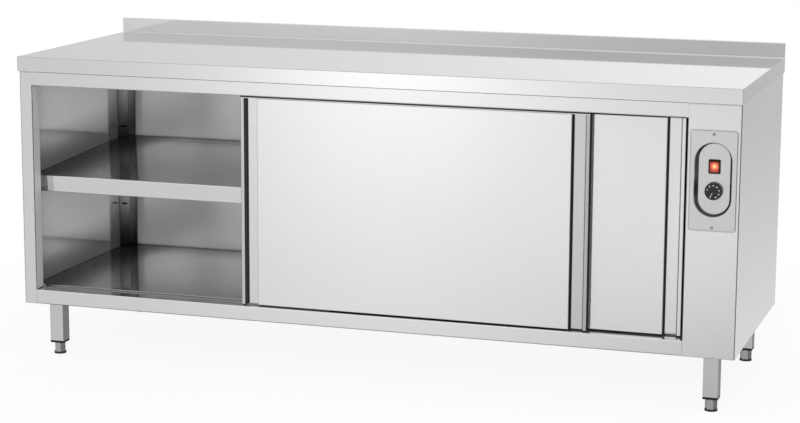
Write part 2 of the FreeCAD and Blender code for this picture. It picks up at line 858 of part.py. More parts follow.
# Floor guide: a strip on the sill with a fin in the slot of each door's bottom edge
def make_floor_guide():
    middle = (opening_left + opening_right) / 2
    low = middle - guide_length / 2
    high = middle + guide_length / 2
    fin_fronts = []
    for face in (front_door_face, rear_door_face):
        fin_fronts.append(face + handle_depth + handle_sheet + guide_gap)
    strip_rear = fin_fronts[1] + guide_fin
    strip = box(low, high, fin_fronts[0], strip_rear, opening_bottom, opening_bottom + guide_base)
    fin_top = door_bottom + guide_fin_engagement
    fins = [box(low, high, y, y + guide_fin, opening_bottom, fin_top) for y in fin_fronts]
    nodes["door_floor_guide"] = joined([strip] + fins)


# Shelf: a perforated tray with a deep front edge, higher at the rear
def shelf_angle():
    return math.asin(shelf_rear_rise / shelf_depth)


def make_shelf():
    left = chamber_left + shelf_end_gap
    right = chamber_right - shelf_end_gap
    front = chamber_front
    rear = front + shelf_depth
    top = shelf_front_height
    bottom = top - shelf_flange
    outline = [(rear - shelf_return, bottom), (rear, bottom), (rear, top), (front, top),
               (front, bottom), (front + shelf_return, bottom)]
    tray = folded(outline, outer_sheet, fold_radius, "x", left, right)
    ends = []
    for x in (left, right - outer_sheet):
        ends.append(box(x, x + outer_sheet, front + outer_sheet, rear - outer_sheet,
                        bottom + outer_sheet, top - outer_sheet))
    tray = joined([tray] + ends)
    middle = (left + right) / 2
    span = right - left - shelf_hole_end_margin * 2
    columns = int(span / shelf_hole_pitch) + 1
    rows = [front + shelf_outer_row_inset, front + shelf_inner_row_inset,
            rear - shelf_inner_row_inset, rear - shelf_outer_row_inset]
    holes = []
    for y in rows:
        for column in range(columns):
            x = middle + (column - (columns - 1) / 2) * shelf_hole_pitch
            holes.append(rod((x, y, top - cut_overrun), Z, shelf_hole_radius, cut_overrun * 2))
    tray = tray.cut(Part.makeCompound(holes))
    tray.rotate(FreeCAD.Vector(0, front, top), X, math.degrees(shelf_angle()))
    nodes["shelf"] = tray


# Slotted uprights at the four corners of the chamber
def upright(x0, x1, y0, y1, slot_face_y):
    post = box(x0, x1, y0, y1, chamber_floor, chamber_top)
    hollow = box(x0 + outer_sheet, x1 - outer_sheet, y0 + outer_sheet, y1 - outer_sheet,
                 chamber_floor - cut_overrun, chamber_top + cut_overrun)
    post = post.cut(hollow)
    middle = (x0 + x1) / 2
    for index in range(upright_slot_count):
        z = upright_middle_slot + (index - (upright_slot_count - 1) / 2) * upright_slot_pitch
        post = post.cut(box(middle - upright_slot_width / 2, middle + upright_slot_width / 2,
                            slot_face_y - outer_sheet * 2, slot_face_y + outer_sheet * 2,
                            z - upright_slot_height / 2, z + upright_slot_height / 2))
    return post


def front_upright_back():
    return post_back + front_upright_depth


def rear_upright_face():
    return chamber_rear - upright_depth


def make_uprights():
    rear_face = rear_upright_face()
    front_back = front_upright_back()
    left_rear = upright(chamber_left, chamber_left + upright_width, rear_face, chamber_rear,
                        rear_face)
    right_rear = upright(chamber_right - upright_width, chamber_right, rear_face, chamber_rear,
                         rear_face)
    left_front = upright(chamber_left, chamber_left + front_upright_width, post_back, front_back,
                         front_back)
    right_front = upright(chamber_right - front_upright_width, chamber_right, post_back,
                          front_back, front_back)
    nodes["shelf_uprights"] = Part.makeCompound([left_rear, right_rear, left_front, right_front])


# Angle brackets hooked in the middle slots, with a ledge under the shelf's edges
def make_brackets():
    angle = shelf_angle()
    front_ledge = shelf_front_height - shelf_flange * math.cos(angle)
    rear_bottom = shelf_front_height + shelf_rear_rise - shelf_flange * math.cos(angle)
    lean = math.tan(angle)
    slot_z = upright_middle_slot
    shapes = []
    for side in (-1, 1):
        wall = chamber_left if side < 0 else chamber_right
        for width, face, inward, ledge_top_z in (
                (front_upright_width, front_upright_back(), 1, front_ledge),
                (upright_width, rear_upright_face(), -1, rear_bottom)):
            middle = wall - side * width / 2
            low = middle - bracket_width / 2
            high = middle + bracket_width / 2
            plate = box(low, high, min(face, face + inward * bracket_sheet),
                        max(face, face + inward * bracket_sheet), slot_z - upright_slot_height / 2,
                        ledge_top_z - bracket_ledge_drop)
            hook = box(low, high, min(face, face - inward * bracket_hook),
                       max(face, face - inward * bracket_hook),
                       slot_z - upright_slot_height / 2,
                       slot_z + upright_slot_height / 2 - free_fit)
            ledge = box(low, high, min(face, face + inward * bracket_ledge),
                        max(face, face + inward * bracket_ledge),
                        ledge_top_z - bracket_ledge_drop, ledge_top_z + bracket_ledge * lean)
            slope = box(low - cut_overrun, high + cut_overrun, -overall_depth, overall_depth,
                        ledge_top_z, ledge_top_z + bracket_overlap)
            pivot_y = chamber_front if inward > 0 else chamber_front + shelf_depth * math.cos(angle)
            offset = shelf_flange * math.sin(angle)
            slope.rotate(FreeCAD.Vector(0, pivot_y + offset, ledge_top_z), X, math.degrees(angle))
            shapes.append(joined([plate, hook, ledge]).cut(slope))
    nodes["shelf_brackets"] = Part.makeCompound(shapes)


# The space of the oval dish, grown by a margin, down to a given depth
def dish(margin, floor_y):
    rim = stadium(dish_width + margin * 2, dish_height + margin * 2, plate_face, control_x, dish_z)
    floor = stadium(dish_width - dish_side_slope * 2 + margin * 2,
                    dish_height - dish_end_slope * 2 + margin * 2, floor_y, control_x, dish_z)
    return Part.makeLoft([rim, floor], True, True)


# Control plate: a shallow pressed cover with an oval dish, held by two screws
def make_control_plate():
    half = plate_width / 2
    cover = box(control_x - half, control_x + half, plate_face, body_front,
                control_z - plate_height / 2, control_z + plate_height / 2)
    cover = cover.makeFillet(plate_corner_radius, edges_along(cover, 1, lambda a, b: True))
    front_edges = [edge for edge in cover.Edges
                   if all(close(vertex.Point.y, plate_face) for vertex in edge.Vertexes)]
    cover = cover.makeFillet(plate_edge_radius, front_edges)
    inner = box(control_x - half + dish_sheet, control_x + half - dish_sheet,
                plate_face + dish_sheet, body_front + cut_overrun,
                control_z - plate_height / 2 + dish_sheet, control_z + plate_height / 2 - dish_sheet)
    inner = inner.makeFillet(plate_edge_radius - dish_sheet, inner.Edges)
    cover = cover.cut(inner)
    plate = cover.fuse(dish(dish_sheet, dish_back)).cut(dish(0, dish_face)).removeSplitter()
    plate = plate.cut(switch_body(dish_face - cut_overrun))
    plate = plate.cut(rod((control_x, dish_face - cut_overrun, knob_z), Y,
                          knob_stem_radius + free_fit, cut_overrun * 2))
    screws = []
    for z in plate_screw_heights():
        plate = plate.cut(rod((control_x, plate_face - cut_overrun, z), Y, plate_screw_shank,
                              cut_overrun * 2))
        head = rod((control_x, plate_face - plate_screw_head, z), Y, plate_screw_radius,
                   plate_screw_head)
        head = head.makeFillet(plate_screw_head / 2, [head.Edges[2]])
        slot = box(control_x - plate_screw_radius, control_x + plate_screw_radius,
                   plate_face - plate_screw_head - cut_overrun, plate_face - plate_screw_head / 2,
                   z - plate_screw_slot / 2, z + plate_screw_slot / 2)
        shank = rod((control_x, plate_face, z), Y, plate_screw_shank - plate_screw_fit,
                    plate_proud + plate_screw_reach)
        screws.append(joined([head, shank]).cut(slot))
    nodes["control_plate"] = plate
    nodes["plate_screws"] = Part.makeCompound(screws)


def switch_body(front):
    half_width = switch_frame_width / 2 - switch_body_margin
    half_height = switch_frame_height / 2 - switch_body_margin
    return box(control_x - half_width, control_x + half_width, front, dish_face + switch_body_depth,
               switch_z - half_height, switch_z + half_height)


# Rocker switch: a frame with its body behind the dish, and a rocker on two pins
def make_switch():
    front = dish_face - switch_frame_proud
    half_width = switch_frame_width / 2
    half_height = switch_frame_height / 2
    frame = box(control_x - half_width, control_x + half_width, front, dish_face,
                switch_z - half_height, switch_z + half_height)
    frame = frame.makeFillet(switch_frame_radius, edges_along(frame, 1, lambda a, b: True))
    body = frame.fuse(switch_body(dish_face)).removeSplitter()
    window_half_width = rocker_width / 2 + rocker_gap
    window_half_height = rocker_height / 2 + rocker_swing_gap
    pocket = box(control_x - window_half_width, control_x + window_half_width, front - cut_overrun,
                 rocker_pivot() + rocker_depth + rocker_swing_gap, switch_z - window_half_height,
                 switch_z + window_half_height)
    body = body.cut(pocket)
    pin_half = rocker_width / 2 + rocker_pin_reach
    bore = rod((control_x - pin_half, rocker_pivot(), switch_z), X,
               rocker_pin_radius + rocker_pin_clearance, pin_half * 2)
    nodes["switch_frame"] = body.cut(bore)
    half = rocker_height / 2
    rocker_front = front - rocker_proud
    foot = rocker_pivot() + rocker_depth
    points = [(rocker_front, switch_z - half), (rocker_front + rocker_dip, switch_z),
              (rocker_front, switch_z + half), (rocker_pivot(), switch_z + half),
              (foot, switch_z + half / 2), (foot, switch_z - half / 2),
              (rocker_pivot(), switch_z - half)]
    place = on_plane("x", control_x - rocker_width / 2)
    vectors = [place(*point) for point in points]
    rocker = Part.Face(Part.makePolygon(vectors + vectors[:1])).extrude(X * rocker_width)
    pin = rod((control_x - pin_half, rocker_pivot(), switch_z), X, rocker_pin_radius, pin_half * 2)
    rocker = joined([rocker, pin])
    rocker.rotate(FreeCAD.Vector(control_x, rocker_pivot(), switch_z), X, rocker_tilt_angle)
    nodes["switch_rocker"] = rocker


def rocker_pivot():
    return dish_face


# Thermostat: body behind the dish, knob with its stem in front, capillary to a bulb
def make_thermostat():
    half = thermostat_size / 2
    body_back = dish_back + thermostat_depth
    body = box(control_x - half, control_x + half, dish_back, body_back, knob_z - half,
               knob_z + half)
    bore = rod((control_x, dish_back - cut_overrun, knob_z), Y,
               knob_stem_radius + knob_stem_clearance, cut_overrun + knob_stem_reach + free_fit)
    body = body.cut(bore)
    bulb_x = compartment_left + bulb_radius
    bulb_start = -overall_depth / 2 + bulb_setback
    bulb_height = chamber_floor + bulb_above_floor
    halfway = (body_back + bulb_start) / 2
    route = [(control_x, body_back, knob_z), (control_x, halfway, knob_z),
             (bulb_x, halfway, bulb_height), (bulb_x, bulb_start, bulb_height)]
    capillary = run_of_tube(route, capillary_radius, capillary_bend)
    bulb = rod((bulb_x, bulb_start, bulb_height), Y, bulb_radius, bulb_length)
    nodes["thermostat"] = joined([body, capillary, bulb])
    back = dish_face - knob_stand_off
    knob = rod((control_x, back - knob_height, knob_z), Y, knob_radius, knob_height)
    front_edges = [edge for edge in knob.Edges
                   if all(close(vertex.Point.y, back - knob_height) for vertex in edge.Vertexes)]
    knob = knob.makeFillet(knob_edge_radius, front_edges)
    stem = rod((control_x, back, knob_z), Y, knob_stem_radius,
               knob_stand_off + dish_sheet + knob_stem_reach)
    nodes["thermostat_knob"] = joined([knob, stem])


# Fan box on the compartment wall, its motor and the impeller
def make_fan():
    half = fan_box_size / 2
    left = compartment_left
    right = left + fan_box_depth
    shell = box(left, right, fan_y - half, fan_y + half, fan_height - half, fan_height + half)
    inner = half - fan_box_sheet
    shell = shell.cut(box(left - cut_overrun, right - fan_box_sheet, fan_y - inner, fan_y + inner,
                          fan_height - inner, fan_height + inner))
    shell = shell.cut(rod((left, fan_y, fan_height), X, fan_duct_radius, fan_box_depth + cut_overrun))
    duct_left = right - fan_blade_depth - fan_blade_gap
    duct = rod((duct_left, fan_y, fan_height), X, fan_duct_radius + fan_box_sheet, right - duct_left)
    duct = duct.cut(rod((duct_left - cut_overrun, fan_y, fan_height), X, fan_duct_radius,
                        fan_box_depth + cut_overrun))
    nodes["fan_housing"] = joined([shell, duct])
    motor = rod((right + fan_box_sheet, fan_y, fan_height), X, motor_radius, motor_depth)
    arm_half = motor_arm_width / 2
    arms = [
        box(right, right + fan_box_sheet, fan_y - half, fan_y + half, fan_height - arm_half,
            fan_height + arm_half),
        box(right, right + fan_box_sheet, fan_y - arm_half, fan_y + arm_half, fan_height - half,
            fan_height + half),
    ]
    shaft = rod((right - motor_shaft_reach, fan_y, fan_height), X, motor_shaft_radius,
                motor_shaft_reach)
    nodes["fan_motor"] = joined([motor] + arms + [shaft])
    hub_right = right - fan_hub_clearance
    hub = rod((hub_right - fan_hub_depth, fan_y, fan_height), X, fan_hub_radius, fan_hub_depth)
    blade_reach = fan_duct_radius - fan_blade_gap
    parts = [hub]
    for index in range(fan_blade_count):
        blade = box(-fan_blade_sheet / 2, fan_blade_sheet / 2, -fan_blade_depth / 2,
                    fan_blade_depth / 2, fan_hub_radius - fan_blade_gap, blade_reach)
        blade.rotate(FreeCAD.Vector(0, 0, 0), Z, fan_blade_pitch_angle)
        blade.rotate(FreeCAD.Vector(0, 0, 0), X, 360 / fan_blade_count * index)
        blade.translate(FreeCAD.Vector(hub_right - fan_hub_depth / 2, fan_y, fan_height))
        parts.append(blade)
    impeller = joined(parts)
    bore = rod((right - motor_shaft_reach - fan_blade_gap, fan_y, fan_height), X,
               motor_shaft_radius + motor_shaft_clearance, fan_box_depth)
    nodes["fan_impeller"] = impeller.cut(bore)


# Heating element: a bent rod in four runs, standing on a flange on the compartment wall
def make_heater():
    x = compartment_left + heater_standoff
    low = fan_height - heater_rod_length / 2
    high = fan_height + heater_rod_length / 2
    bend = heater_rod_spacing / 2
    flange_top = low - bend - heater_rod_radius
    flange_low = flange_top - heater_flange_sheet
    start_y = fan_y - heater_rod_spacing * (heater_run_count - 1) / 2
    end_y = start_y + heater_rod_spacing * (heater_run_count - 1)
    pieces = []
    for index in range(heater_run_count):
        y = start_y + index * heater_rod_spacing
        is_end_run = index in (0, heater_run_count - 1)
        bottom = flange_low - heater_flange_height if is_end_run else low
        pieces.append(rod((x, y, bottom), Z, heater_rod_radius, high - bottom))
    for index in range(heater_run_count - 1):
        bends_up = index % 2 == 0
        z = high if bends_up else low
        middle_y = start_y + index * heater_rod_spacing + bend
        ring = Part.makeTorus(bend, heater_rod_radius, FreeCAD.Vector(x, middle_y, z), X)
        keep_low = z if bends_up else z - heater_rod_spacing
        half_box = box(x - bend, x + bend, middle_y - heater_rod_spacing,
                       middle_y + heater_rod_spacing, keep_low, keep_low + heater_rod_spacing)
        pieces.append(ring.common(half_box))
    flange = box(compartment_left, x + heater_standoff, start_y - heater_flange_margin,
                 end_y + heater_flange_margin, flange_low, flange_top)
    nodes["heater_element"] = joined(pieces + [flange])


# Mains side: terminal block, cable gland in the back and the loom to the controls
def make_wiring():
    floor_top = floor_under + outer_sheet
    middle_x = (compartment_left + compartment_right) / 2
    rear = chamber_rear - terminal_setback
    block = box(middle_x - terminal_width / 2, middle_x + terminal_width / 2, rear - terminal_length,
                rear, floor_top, floor_top + terminal_height)
    nodes["terminal_block"] = block
    x = gland_x()
    body = rod((x, body_rear - gland_reach, gland_height), Y, gland_radius, gland_reach)
    flange = rod((x, body_rear, gland_height), Y, gland_flange_radius, gland_flange_height)
    nose = rod((x, body_rear + gland_flange_height, gland_height), Y, gland_radius, gland_nose_height)
    bore = rod((x, body_rear - gland_reach - cut_overrun, gland_height), Y, gland_bore_radius,
               gland_reach + gland_flange_height + gland_nose_height + cut_overrun * 2)
    nodes["cable_gland"] = joined([body, flange, nose]).cut(bore)
    loom_x = compartment_right - loom_radius - loom_wall_gap
    loom_rise = switch_z - loom_below_switch
    start = (middle_x, rear - terminal_length / 2, floor_top + terminal_height)
    turn = (middle_x, start[1], start[2] + loom_bend * 2)
    side = (loom_x, start[1], turn[2] + loom_bend * 2)
    over = (loom_x, start[1], loom_rise)
    front = (loom_x, dish_face + switch_body_depth + loom_bend * 3, loom_rise)
    switch_rear = dish_face + switch_body_depth
    route = [start, turn, side, over, front, (control_x, switch_rear + loom_bend, switch_z),
             (control_x, switch_rear, switch_z)]
    nodes["wiring_loom"] = run_of_tube(route, loom_radius, loom_bend / 2)


def main():
    os.makedirs("parts", exist_ok=True)
    make_worktop()
    make_stiffeners()
    make_outer_sheets()
    make_rails()
    make_lining()
    make_bottom_covers()
    make_base()
    for place, (x, y) in leg_places.items():
        make_foot(place + "_foot", x, y)
    make_insulation()
    make_door("front_door", front_door_left, front_door_face)
    make_door("rear_door", rear_door_left, rear_door_face)
    make_tracks()
    make_floor_guide()
    make_shelf()
    make_uprights()
    make_brackets()
    make_control_plate()
    make_switch()
    make_thermostat()
    make_fan()
    make_heater()
    make_wiring()
    for name, shape in nodes.items():
        solids = len(shape.Solids)
        print(name, "solids", solids, "valid", shape.isValid(), "volume", round(shape.Volume))
        shape.exportStep("parts/" + name + ".step")


main()
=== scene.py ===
import json
import math

import bmesh
import bpy
from mathutils import Euler, Matrix, Vector


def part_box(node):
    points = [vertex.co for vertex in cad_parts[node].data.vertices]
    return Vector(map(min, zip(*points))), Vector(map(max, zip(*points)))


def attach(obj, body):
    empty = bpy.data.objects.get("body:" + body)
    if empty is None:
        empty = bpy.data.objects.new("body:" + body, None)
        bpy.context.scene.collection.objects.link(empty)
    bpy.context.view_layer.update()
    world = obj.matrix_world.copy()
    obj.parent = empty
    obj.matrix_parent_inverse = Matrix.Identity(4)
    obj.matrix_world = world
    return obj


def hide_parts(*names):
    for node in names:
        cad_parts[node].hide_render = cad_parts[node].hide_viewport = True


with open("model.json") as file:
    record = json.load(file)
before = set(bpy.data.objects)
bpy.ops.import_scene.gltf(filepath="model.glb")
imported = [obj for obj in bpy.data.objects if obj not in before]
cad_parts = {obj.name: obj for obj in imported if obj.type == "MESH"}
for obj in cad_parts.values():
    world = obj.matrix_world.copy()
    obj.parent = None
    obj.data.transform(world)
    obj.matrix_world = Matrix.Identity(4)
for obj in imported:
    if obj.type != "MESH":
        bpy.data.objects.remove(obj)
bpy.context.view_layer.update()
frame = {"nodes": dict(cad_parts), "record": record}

# Lengths are in metres and angles in degrees. X runs along the cabinet, the front faces -Y.
# A share multiplies a tone or a level: 1 leaves it as it is, and 0 makes it black.

# Camera, placed so that the cabinet's straight edges fall where the photograph has them.
# Its lens and its sensor are in millimetres.
camera_place = (1.872, -5.796, 1.560)
camera_heading = 17.944
camera_pitch = -10.623
camera_roll = 0.278
camera_lens = 99.85
sensor_width = 36.0

# Soft light from all round, for all but mirror images
ones = (1.0, 1.0, 1.0)
white = (*ones, 1.0)
plain_level = 0.80

# White background as metal and glass show it, with its lit and dim places.
# Headings turn from 0 in front of the doors to 90 on the right and 180 behind.
# A glow has its heading, its height as the sine of its elevation, its two half widths and its gain.
front_level = 0.71
rear_level = 0.60
glows = (
    (-18.4, -0.05, 3.5, 0.12, 0.76),
    (-13.5, -0.10, 3.5, 0.10, 0.10),
    (-9.7, -0.190, 3.0, 0.032, 0.26),
    (-8.0, -0.34, 6.0, 0.070, -0.28),
    (0.0, 0.0, 22.0, 3.0, 0.06),
    (27.0, -0.08, 12.0, 0.25, 0.40),
    (0.0, 1.0, 180.0, 0.5, 0.30),
    (-12.5, 0.165, 7.5, 0.06, -0.215),
    (-18.6, 0.055, 3.6, 0.035, -0.36),
    (-9.0, 0.055, 7.0, 0.035, -0.18),
    (-24.5, -0.165, 2.0, 0.022, 0.12),
    (-8.5, -0.295, 3.5, 0.024, -0.48),
    (95.0, 0.0, 26.0, 3.0, -0.30),
    (180.0, 0.0, 18.0, 3.0, 0.46),
)

# Shares of the level behind the cabinet by height, and half the width of the blend from front to rear
rear_heights = ((-1.0, 0.90), (-0.30, 0.92), (-0.22, 0.78), (-0.14, 0.60), (-0.05, 0.64), (0.08, 1.0))
side_blend = 0.25

# Floor. The shadow seen on it fades between the start and the reach, measured from the middle.
floor_half_size = 14.0
floor_white = (0.93, 0.93, 0.93, 1.0)
floor_shadow_share = 0.12
floor_shadow_start = 1.0
floor_shadow_reach = 2.2

# Soft lamp in front of the cabinet, at the right. Its power is in watts.
lamp_place = (1.4, -5.0, 2.0)
lamp_aim = (-0.5, 0.0, 0.45)
lamp_side = 2.2
lamp_power = 165.0

# A noise texture's values lie mostly between these two
noise_low = 0.3
noise_high = 0.7

# Openness round a point, from closed in a seam to open on a plain face, and the rays that measure it
seam_closed = 0.40
seam_open = 0.85
openness_samples = 8

# How squarely a face looks along its axis where its painted lean shade starts and where it is full,
# and the same for the roughness of level faces
facing_low = 0.3
facing_high = 0.7
level_low = 0.5
level_high = 0.9

# Slant of a rounded normal where a painted dark edge line starts and where it is full. The slant is the
# sum of the normal's three parts, which is 1 where it looks along an axis. A lower edge's normal looks up
# less than the last value.
slant_low = 1.05
slant_high = 1.30
least_upward = 0.01

# Grain of rolled steel, in cells per metre across and along it, the slower clouds in its polish, and
# how many times as much as its tone the roughness varies
grain_across = 900.0
grain_along = 6.0
grain_detail = 3.0
grain_strength = 0.25
grain_scales = {
    "x": (grain_along, grain_across, grain_across),
    "y": (grain_across, grain_along, grain_across),
    "z": (grain_across, grain_across, grain_along),
    "level": (grain_along, grain_along, grain_across),
}
cloud_scale = 3.5
streak_share = 0.6
cloud_share = 0.4
roughness_swing = 5.0

# The blur's direction has a little of Y in it, so that it is square to no face that looks along an axis
blur_depth_share = 0.02

# Soft shade towards the neighbours on one side: the lean of the outlook, the axis that its faces look
# along, how far it reaches, its darkest share, and the openness where it is full and where it ends
wall_lean = {
    "lean": (0.0, 0.0, -1.3), "axis": "X", "reach": 0.12, "darkest": 0.55, "closed": 0.30, "clear": 0.85}
post_lean = {
    "lean": (-1.7, 0.0, 0.0), "axis": "Z", "reach": 0.16, "darkest": 0.36, "closed": 0.20, "clear": 0.85}
upright_lean = {
    "lean": (0.0, 0.0, -2.5), "axis": None, "reach": 0.20, "darkest": 0.06, "closed": 0.02, "clear": 0.42}

# Control plate: its edge is rounded this deep, and the painted shade of its dish walls blends in behind
# that
plate_edge_radius = 0.0035
deep_blend = 0.001

# Front door's handle stiles, from the door's edge inwards, and the painted tones of their parts, which
# stand in for their darker reflections and shade
stile_margin = 0.001
stile_lip = 0.011
stile_shade_start = 0.014
stile_recess = 0.0175
stile_width = 0.049
left_lip_shade = 0.75
left_shade_share = 0.12
left_recess_shade = 0.91
right_recess_shade = 0.78
right_lip_shade = 0.60

# Lean of the worktop's mirror image towards the front
worktop_tilt = 1.57

# Zinc plating. The crystals are in cells per metre.
zinc_tone = 0.55
zinc_warmth = -0.02
zinc_tone_spread = 0.08
zinc_crystals = 90.0
zinc_roughness = 0.32
zinc_roughness_spread = 0.2
zinc_metallic = 0.9

# Moulded plastic and rubber: the tones of the speckle and how much its roughness varies
speckle_dark = 0.8
speckle_light = 1.15
speckle_roughness_spread = 0.1
speckle_strength = 0.5

# Board, wool and honeycomb: how the flecks and fibres are stretched, and their depth
fleck_stretch = (1.0, 2.5, 1.0)
fibre_stretch = (1.0, 4.0, 1.0)
fibre_fineness = 2
fibre_detail = 4.0
fibre_high = 0.4
fibre_depth = 0.0005
fibre_strength = 0.6
fibre_roughness = 0.9

# Lit rocker: where its lamp stands from the middle of its front, and how far its light fades
lens_lamp_offset = (0.001, 0.004, 0.002)
lens_near = 0.002
lens_far = 0.0155
lens_glow = (
    (0.0, (0.05, 0.004, 0.003, 1.0)),
    (0.35, (0.30, 0.050, 0.025, 1.0)),
    (0.62, (0.72, 0.20, 0.07, 1.0)),
    (0.82, (0.95, 0.46, 0.14, 1.0)),
    (1.0, (1.0, 0.85, 0.45, 1.0)),
)
lens_glow_strength = 0.9
lens_red = (0.20, 0.015, 0.010, 1.0)
lens_roughness = 0.12
lens_coat = 0.5

# Levelling foot: its heights over the ground, its steel and its pad
foot_pad_height = 0.005
foot_hex_top = 0.033
foot_thread_pitch = 0.00175
foot_thread_depth = 0.0004
foot_grain_scale = (900.0, 900.0, 20.0)
foot_tone = 0.42
foot_tone_spread = 0.1
foot_metallic = 0.95
foot_roughness = 0.24
pad_tone = 0.012
pad_roughness = 0.55

# Knob, its face and its marks
knob_stem_radius = 0.004
knob_stand_off = 0.0008
dish_sheet = 0.001
knob_rib_count = 40
knob_sides_per_rib = 8
knob_rib_depth = 0.00035
knob_back_chamfer = 0.0006
knob_back_share = 0.94
knob_rib_end = 0.0018
knob_chamfer = 0.0012
knob_shoulder = 0.0004
knob_rim_outer = 0.0016
knob_rim_inner = 0.0024
knob_dip_inset = 0.00304
knob_face_dip = 0.0006
knob_hub_share = 0.1
knob_number_radius = 0.0155
knob_number_size = 0.0042
knob_mark_lift = 0.00012
knob_first_number = 30
knob_number_step = 10
knob_number_count = 7
knob_first_angle = 288.0
knob_angle_step = 37.2
knob_pointer_angle = 205.0
knob_pointer_inner = 0.0045
knob_pointer_outer = 0.0175
knob_pointer_width = 0.0011
knob_pointer_taper_share = 0.7

# Shelf lip between the rear uprights
shelf_sheet = 0.0012
shelf_flange = 0.046
shelf_lip_gap = 0.003
shelf_lip_fold = 0.0015
shelf_lip_hem = 0.012
shelf_lip_end_gap = 0.003
upright_width = 0.033
sharpest_bend_share = 0.3

# Weld ground flush between each rail and its neighbour
weld_width = 0.0054
weld_sink = 0.00005
weld_depth = 0.0006

# Rubber strip behind the rear door's closing edge
seal_width = 0.0160
seal_thickness = 0.0013
seal_gap = 0.0007
seal_inset = 0.0003

# Black strip along the top of each door, standing in for the shade in the gap under the top rail, and the
# steel cap under the front door's
shade_strip_thickness = 0.0014
shade_strip_height = 0.0058
door_cap_height = 0.0018

# Plate in the corner between the sill, the floor pan and the left post
corner_clearance = 0.0002

# Dull strip on the left side of the opening
jamb_strip_lift = 0.0001
jamb_strip_sheet = 0.0004
jamb_strip_inset = 0.002
jamb_strip_depth = 0.038


# Node trees
def fill(tree, node, inputs):
    for key, value in inputs.items():
        if isinstance(value, bpy.types.NodeSocket):
            tree.links.new(value, node.inputs[key])
        else:
            node.inputs[key].default_value = value


def add_node(tree, kind, inputs=None, **settings):
    made = tree.nodes.new(kind)
    for name, value in settings.items():
        setattr(made, name, value)
    fill(tree, made, inputs or {})
    return made


def math_node(tree, operation, *values, clamp=False):
    inputs = dict(enumerate(values))
    return add_node(tree, "ShaderNodeMath", inputs, operation=operation, use_clamp=clamp).outputs[0]


def vector_node(tree, operation, *values, result="Vector"):
    inputs = dict(enumerate(values))
    return add_node(tree, "ShaderNodeVectorMath", inputs, operation=operation).outputs[result]


def scaled(tree, vector, share):
    inputs = {0: vector, "Scale": share}
    return add_node(tree, "ShaderNodeVectorMath", inputs, operation="SCALE").outputs["Vector"]


def product(tree, shares):
    result = shares[0]
    for share in shares[1:]:
        result = math_node(tree, "MULTIPLY", result, share)
    return result


def map_range(tree, value, low, high, to_low, to_high, smooth=False):
    inputs = {"Value": value, "From Min": low, "From Max": high, "To Min": to_low, "To Max": to_high}
    blend = "SMOOTHSTEP" if smooth else "LINEAR"
    return add_node(tree, "ShaderNodeMapRange", inputs, interpolation_type=blend).outputs["Result"]


# A mix node has its colours in inputs 6 and 7 and the mixed colour in output 2
def mix_colours(tree, share, first, second):
    return add_node(tree, "ShaderNodeMix", {0: share, 6: first, 7: second}, data_type="RGBA").outputs[2]


def mix_shaders(tree, share, first, second):
    return add_node(tree, "ShaderNodeMixShader", {0: share, 1: first, 2: second}).outputs["Shader"]


def colour_ramp(tree, share, stops):
    made = add_node(tree, "ShaderNodeValToRGB", {"Fac": share})
    elements = made.color_ramp.elements
    elements[0].position, elements[0].color = stops[0]
    elements[1].position, elements[1].color = stops[-1]
    for position, colour in stops[1:-1]:
        elements.new(position).color = colour
    return made.outputs["Color"]


def to_grey(tree, colour):
    return add_node(tree, "ShaderNodeRGBToBW", {"Color": colour}).outputs["Val"]


def parts_of(tree, vector):
    return add_node(tree, "ShaderNodeSeparateXYZ", {"Vector": vector}).outputs


def object_place(tree, scale=None):
    place = add_node(tree, "ShaderNodeTexCoord").outputs["Object"]
    if scale is None:
        return place
    return add_node(tree, "ShaderNodeMapping", {"Vector": place, "Scale": scale}).outputs["Vector"]


def noise(tree, place, scale, detail=2.0):
    inputs = {"Vector": place, "Scale": scale, "Detail": detail}
    return add_node(tree, "ShaderNodeTexNoise", inputs).outputs["Fac"]


def cells(tree, place, scale, result):
    return add_node(tree, "ShaderNodeTexVoronoi", {"Vector": place, "Scale": scale}).outputs[result]


def bump(tree, height, distance, strength=1.0, normal=None):
    inputs = {"Height": height, "Distance": distance, "Strength": strength}
    if normal is not None:
        inputs["Normal"] = normal
    return add_node(tree, "ShaderNodeBump", inputs).outputs["Normal"]


def rounded_normal(tree, radius):
    return add_node(tree, "ShaderNodeBevel", {"Radius": radius}).outputs["Normal"]


def true_normal(tree):
    return add_node(tree, "ShaderNodeNewGeometry").outputs["True Normal"]


def grey(tone, warmth=0.0):
    return (tone * (1 + warmth), tone, tone * (1 - warmth), 1.0)


def clear_tree(holder):
    holder.use_nodes = True
    holder.node_tree.nodes.clear()
    return holder.node_tree


def new_material(name):
    material = bpy.data.materials.new(name)
    tree = clear_tree(material)
    shader = add_node(tree, "ShaderNodeBsdfPrincipled")
    add_node(tree, "ShaderNodeOutputMaterial", {"Surface": shader.outputs["BSDF"]})
    return material, tree, shader


# Painted shade: shares that darken parts of a surface where less light would reach them
def depth(tree):
    return parts_of(tree, object_place(tree))["Y"]


def is_rear(tree):
    return math_node(tree, "GREATER_THAN", depth(tree), 0.0)


# Open space round a point, from 0 in a closed corner to 1
def openness(tree, reach, normal=None):
    inputs = {"Distance": reach}
    if normal is not None:
        inputs["Normal"] = normal
    return add_node(tree, "ShaderNodeAmbientOcclusion", inputs, samples=openness_samples).outputs["AO"]


# Painted shade, dark in a seam and 1 on an open face
def painted_seam_shade(tree, reach, darkest):
    return map_range(tree, openness(tree, reach), seam_closed, seam_open, darkest, 1.0)


# How squarely a face looks along an axis
def facing(tree, axis):
    return math_node(tree, "ABSOLUTE", parts_of(tree, true_normal(tree))[axis])
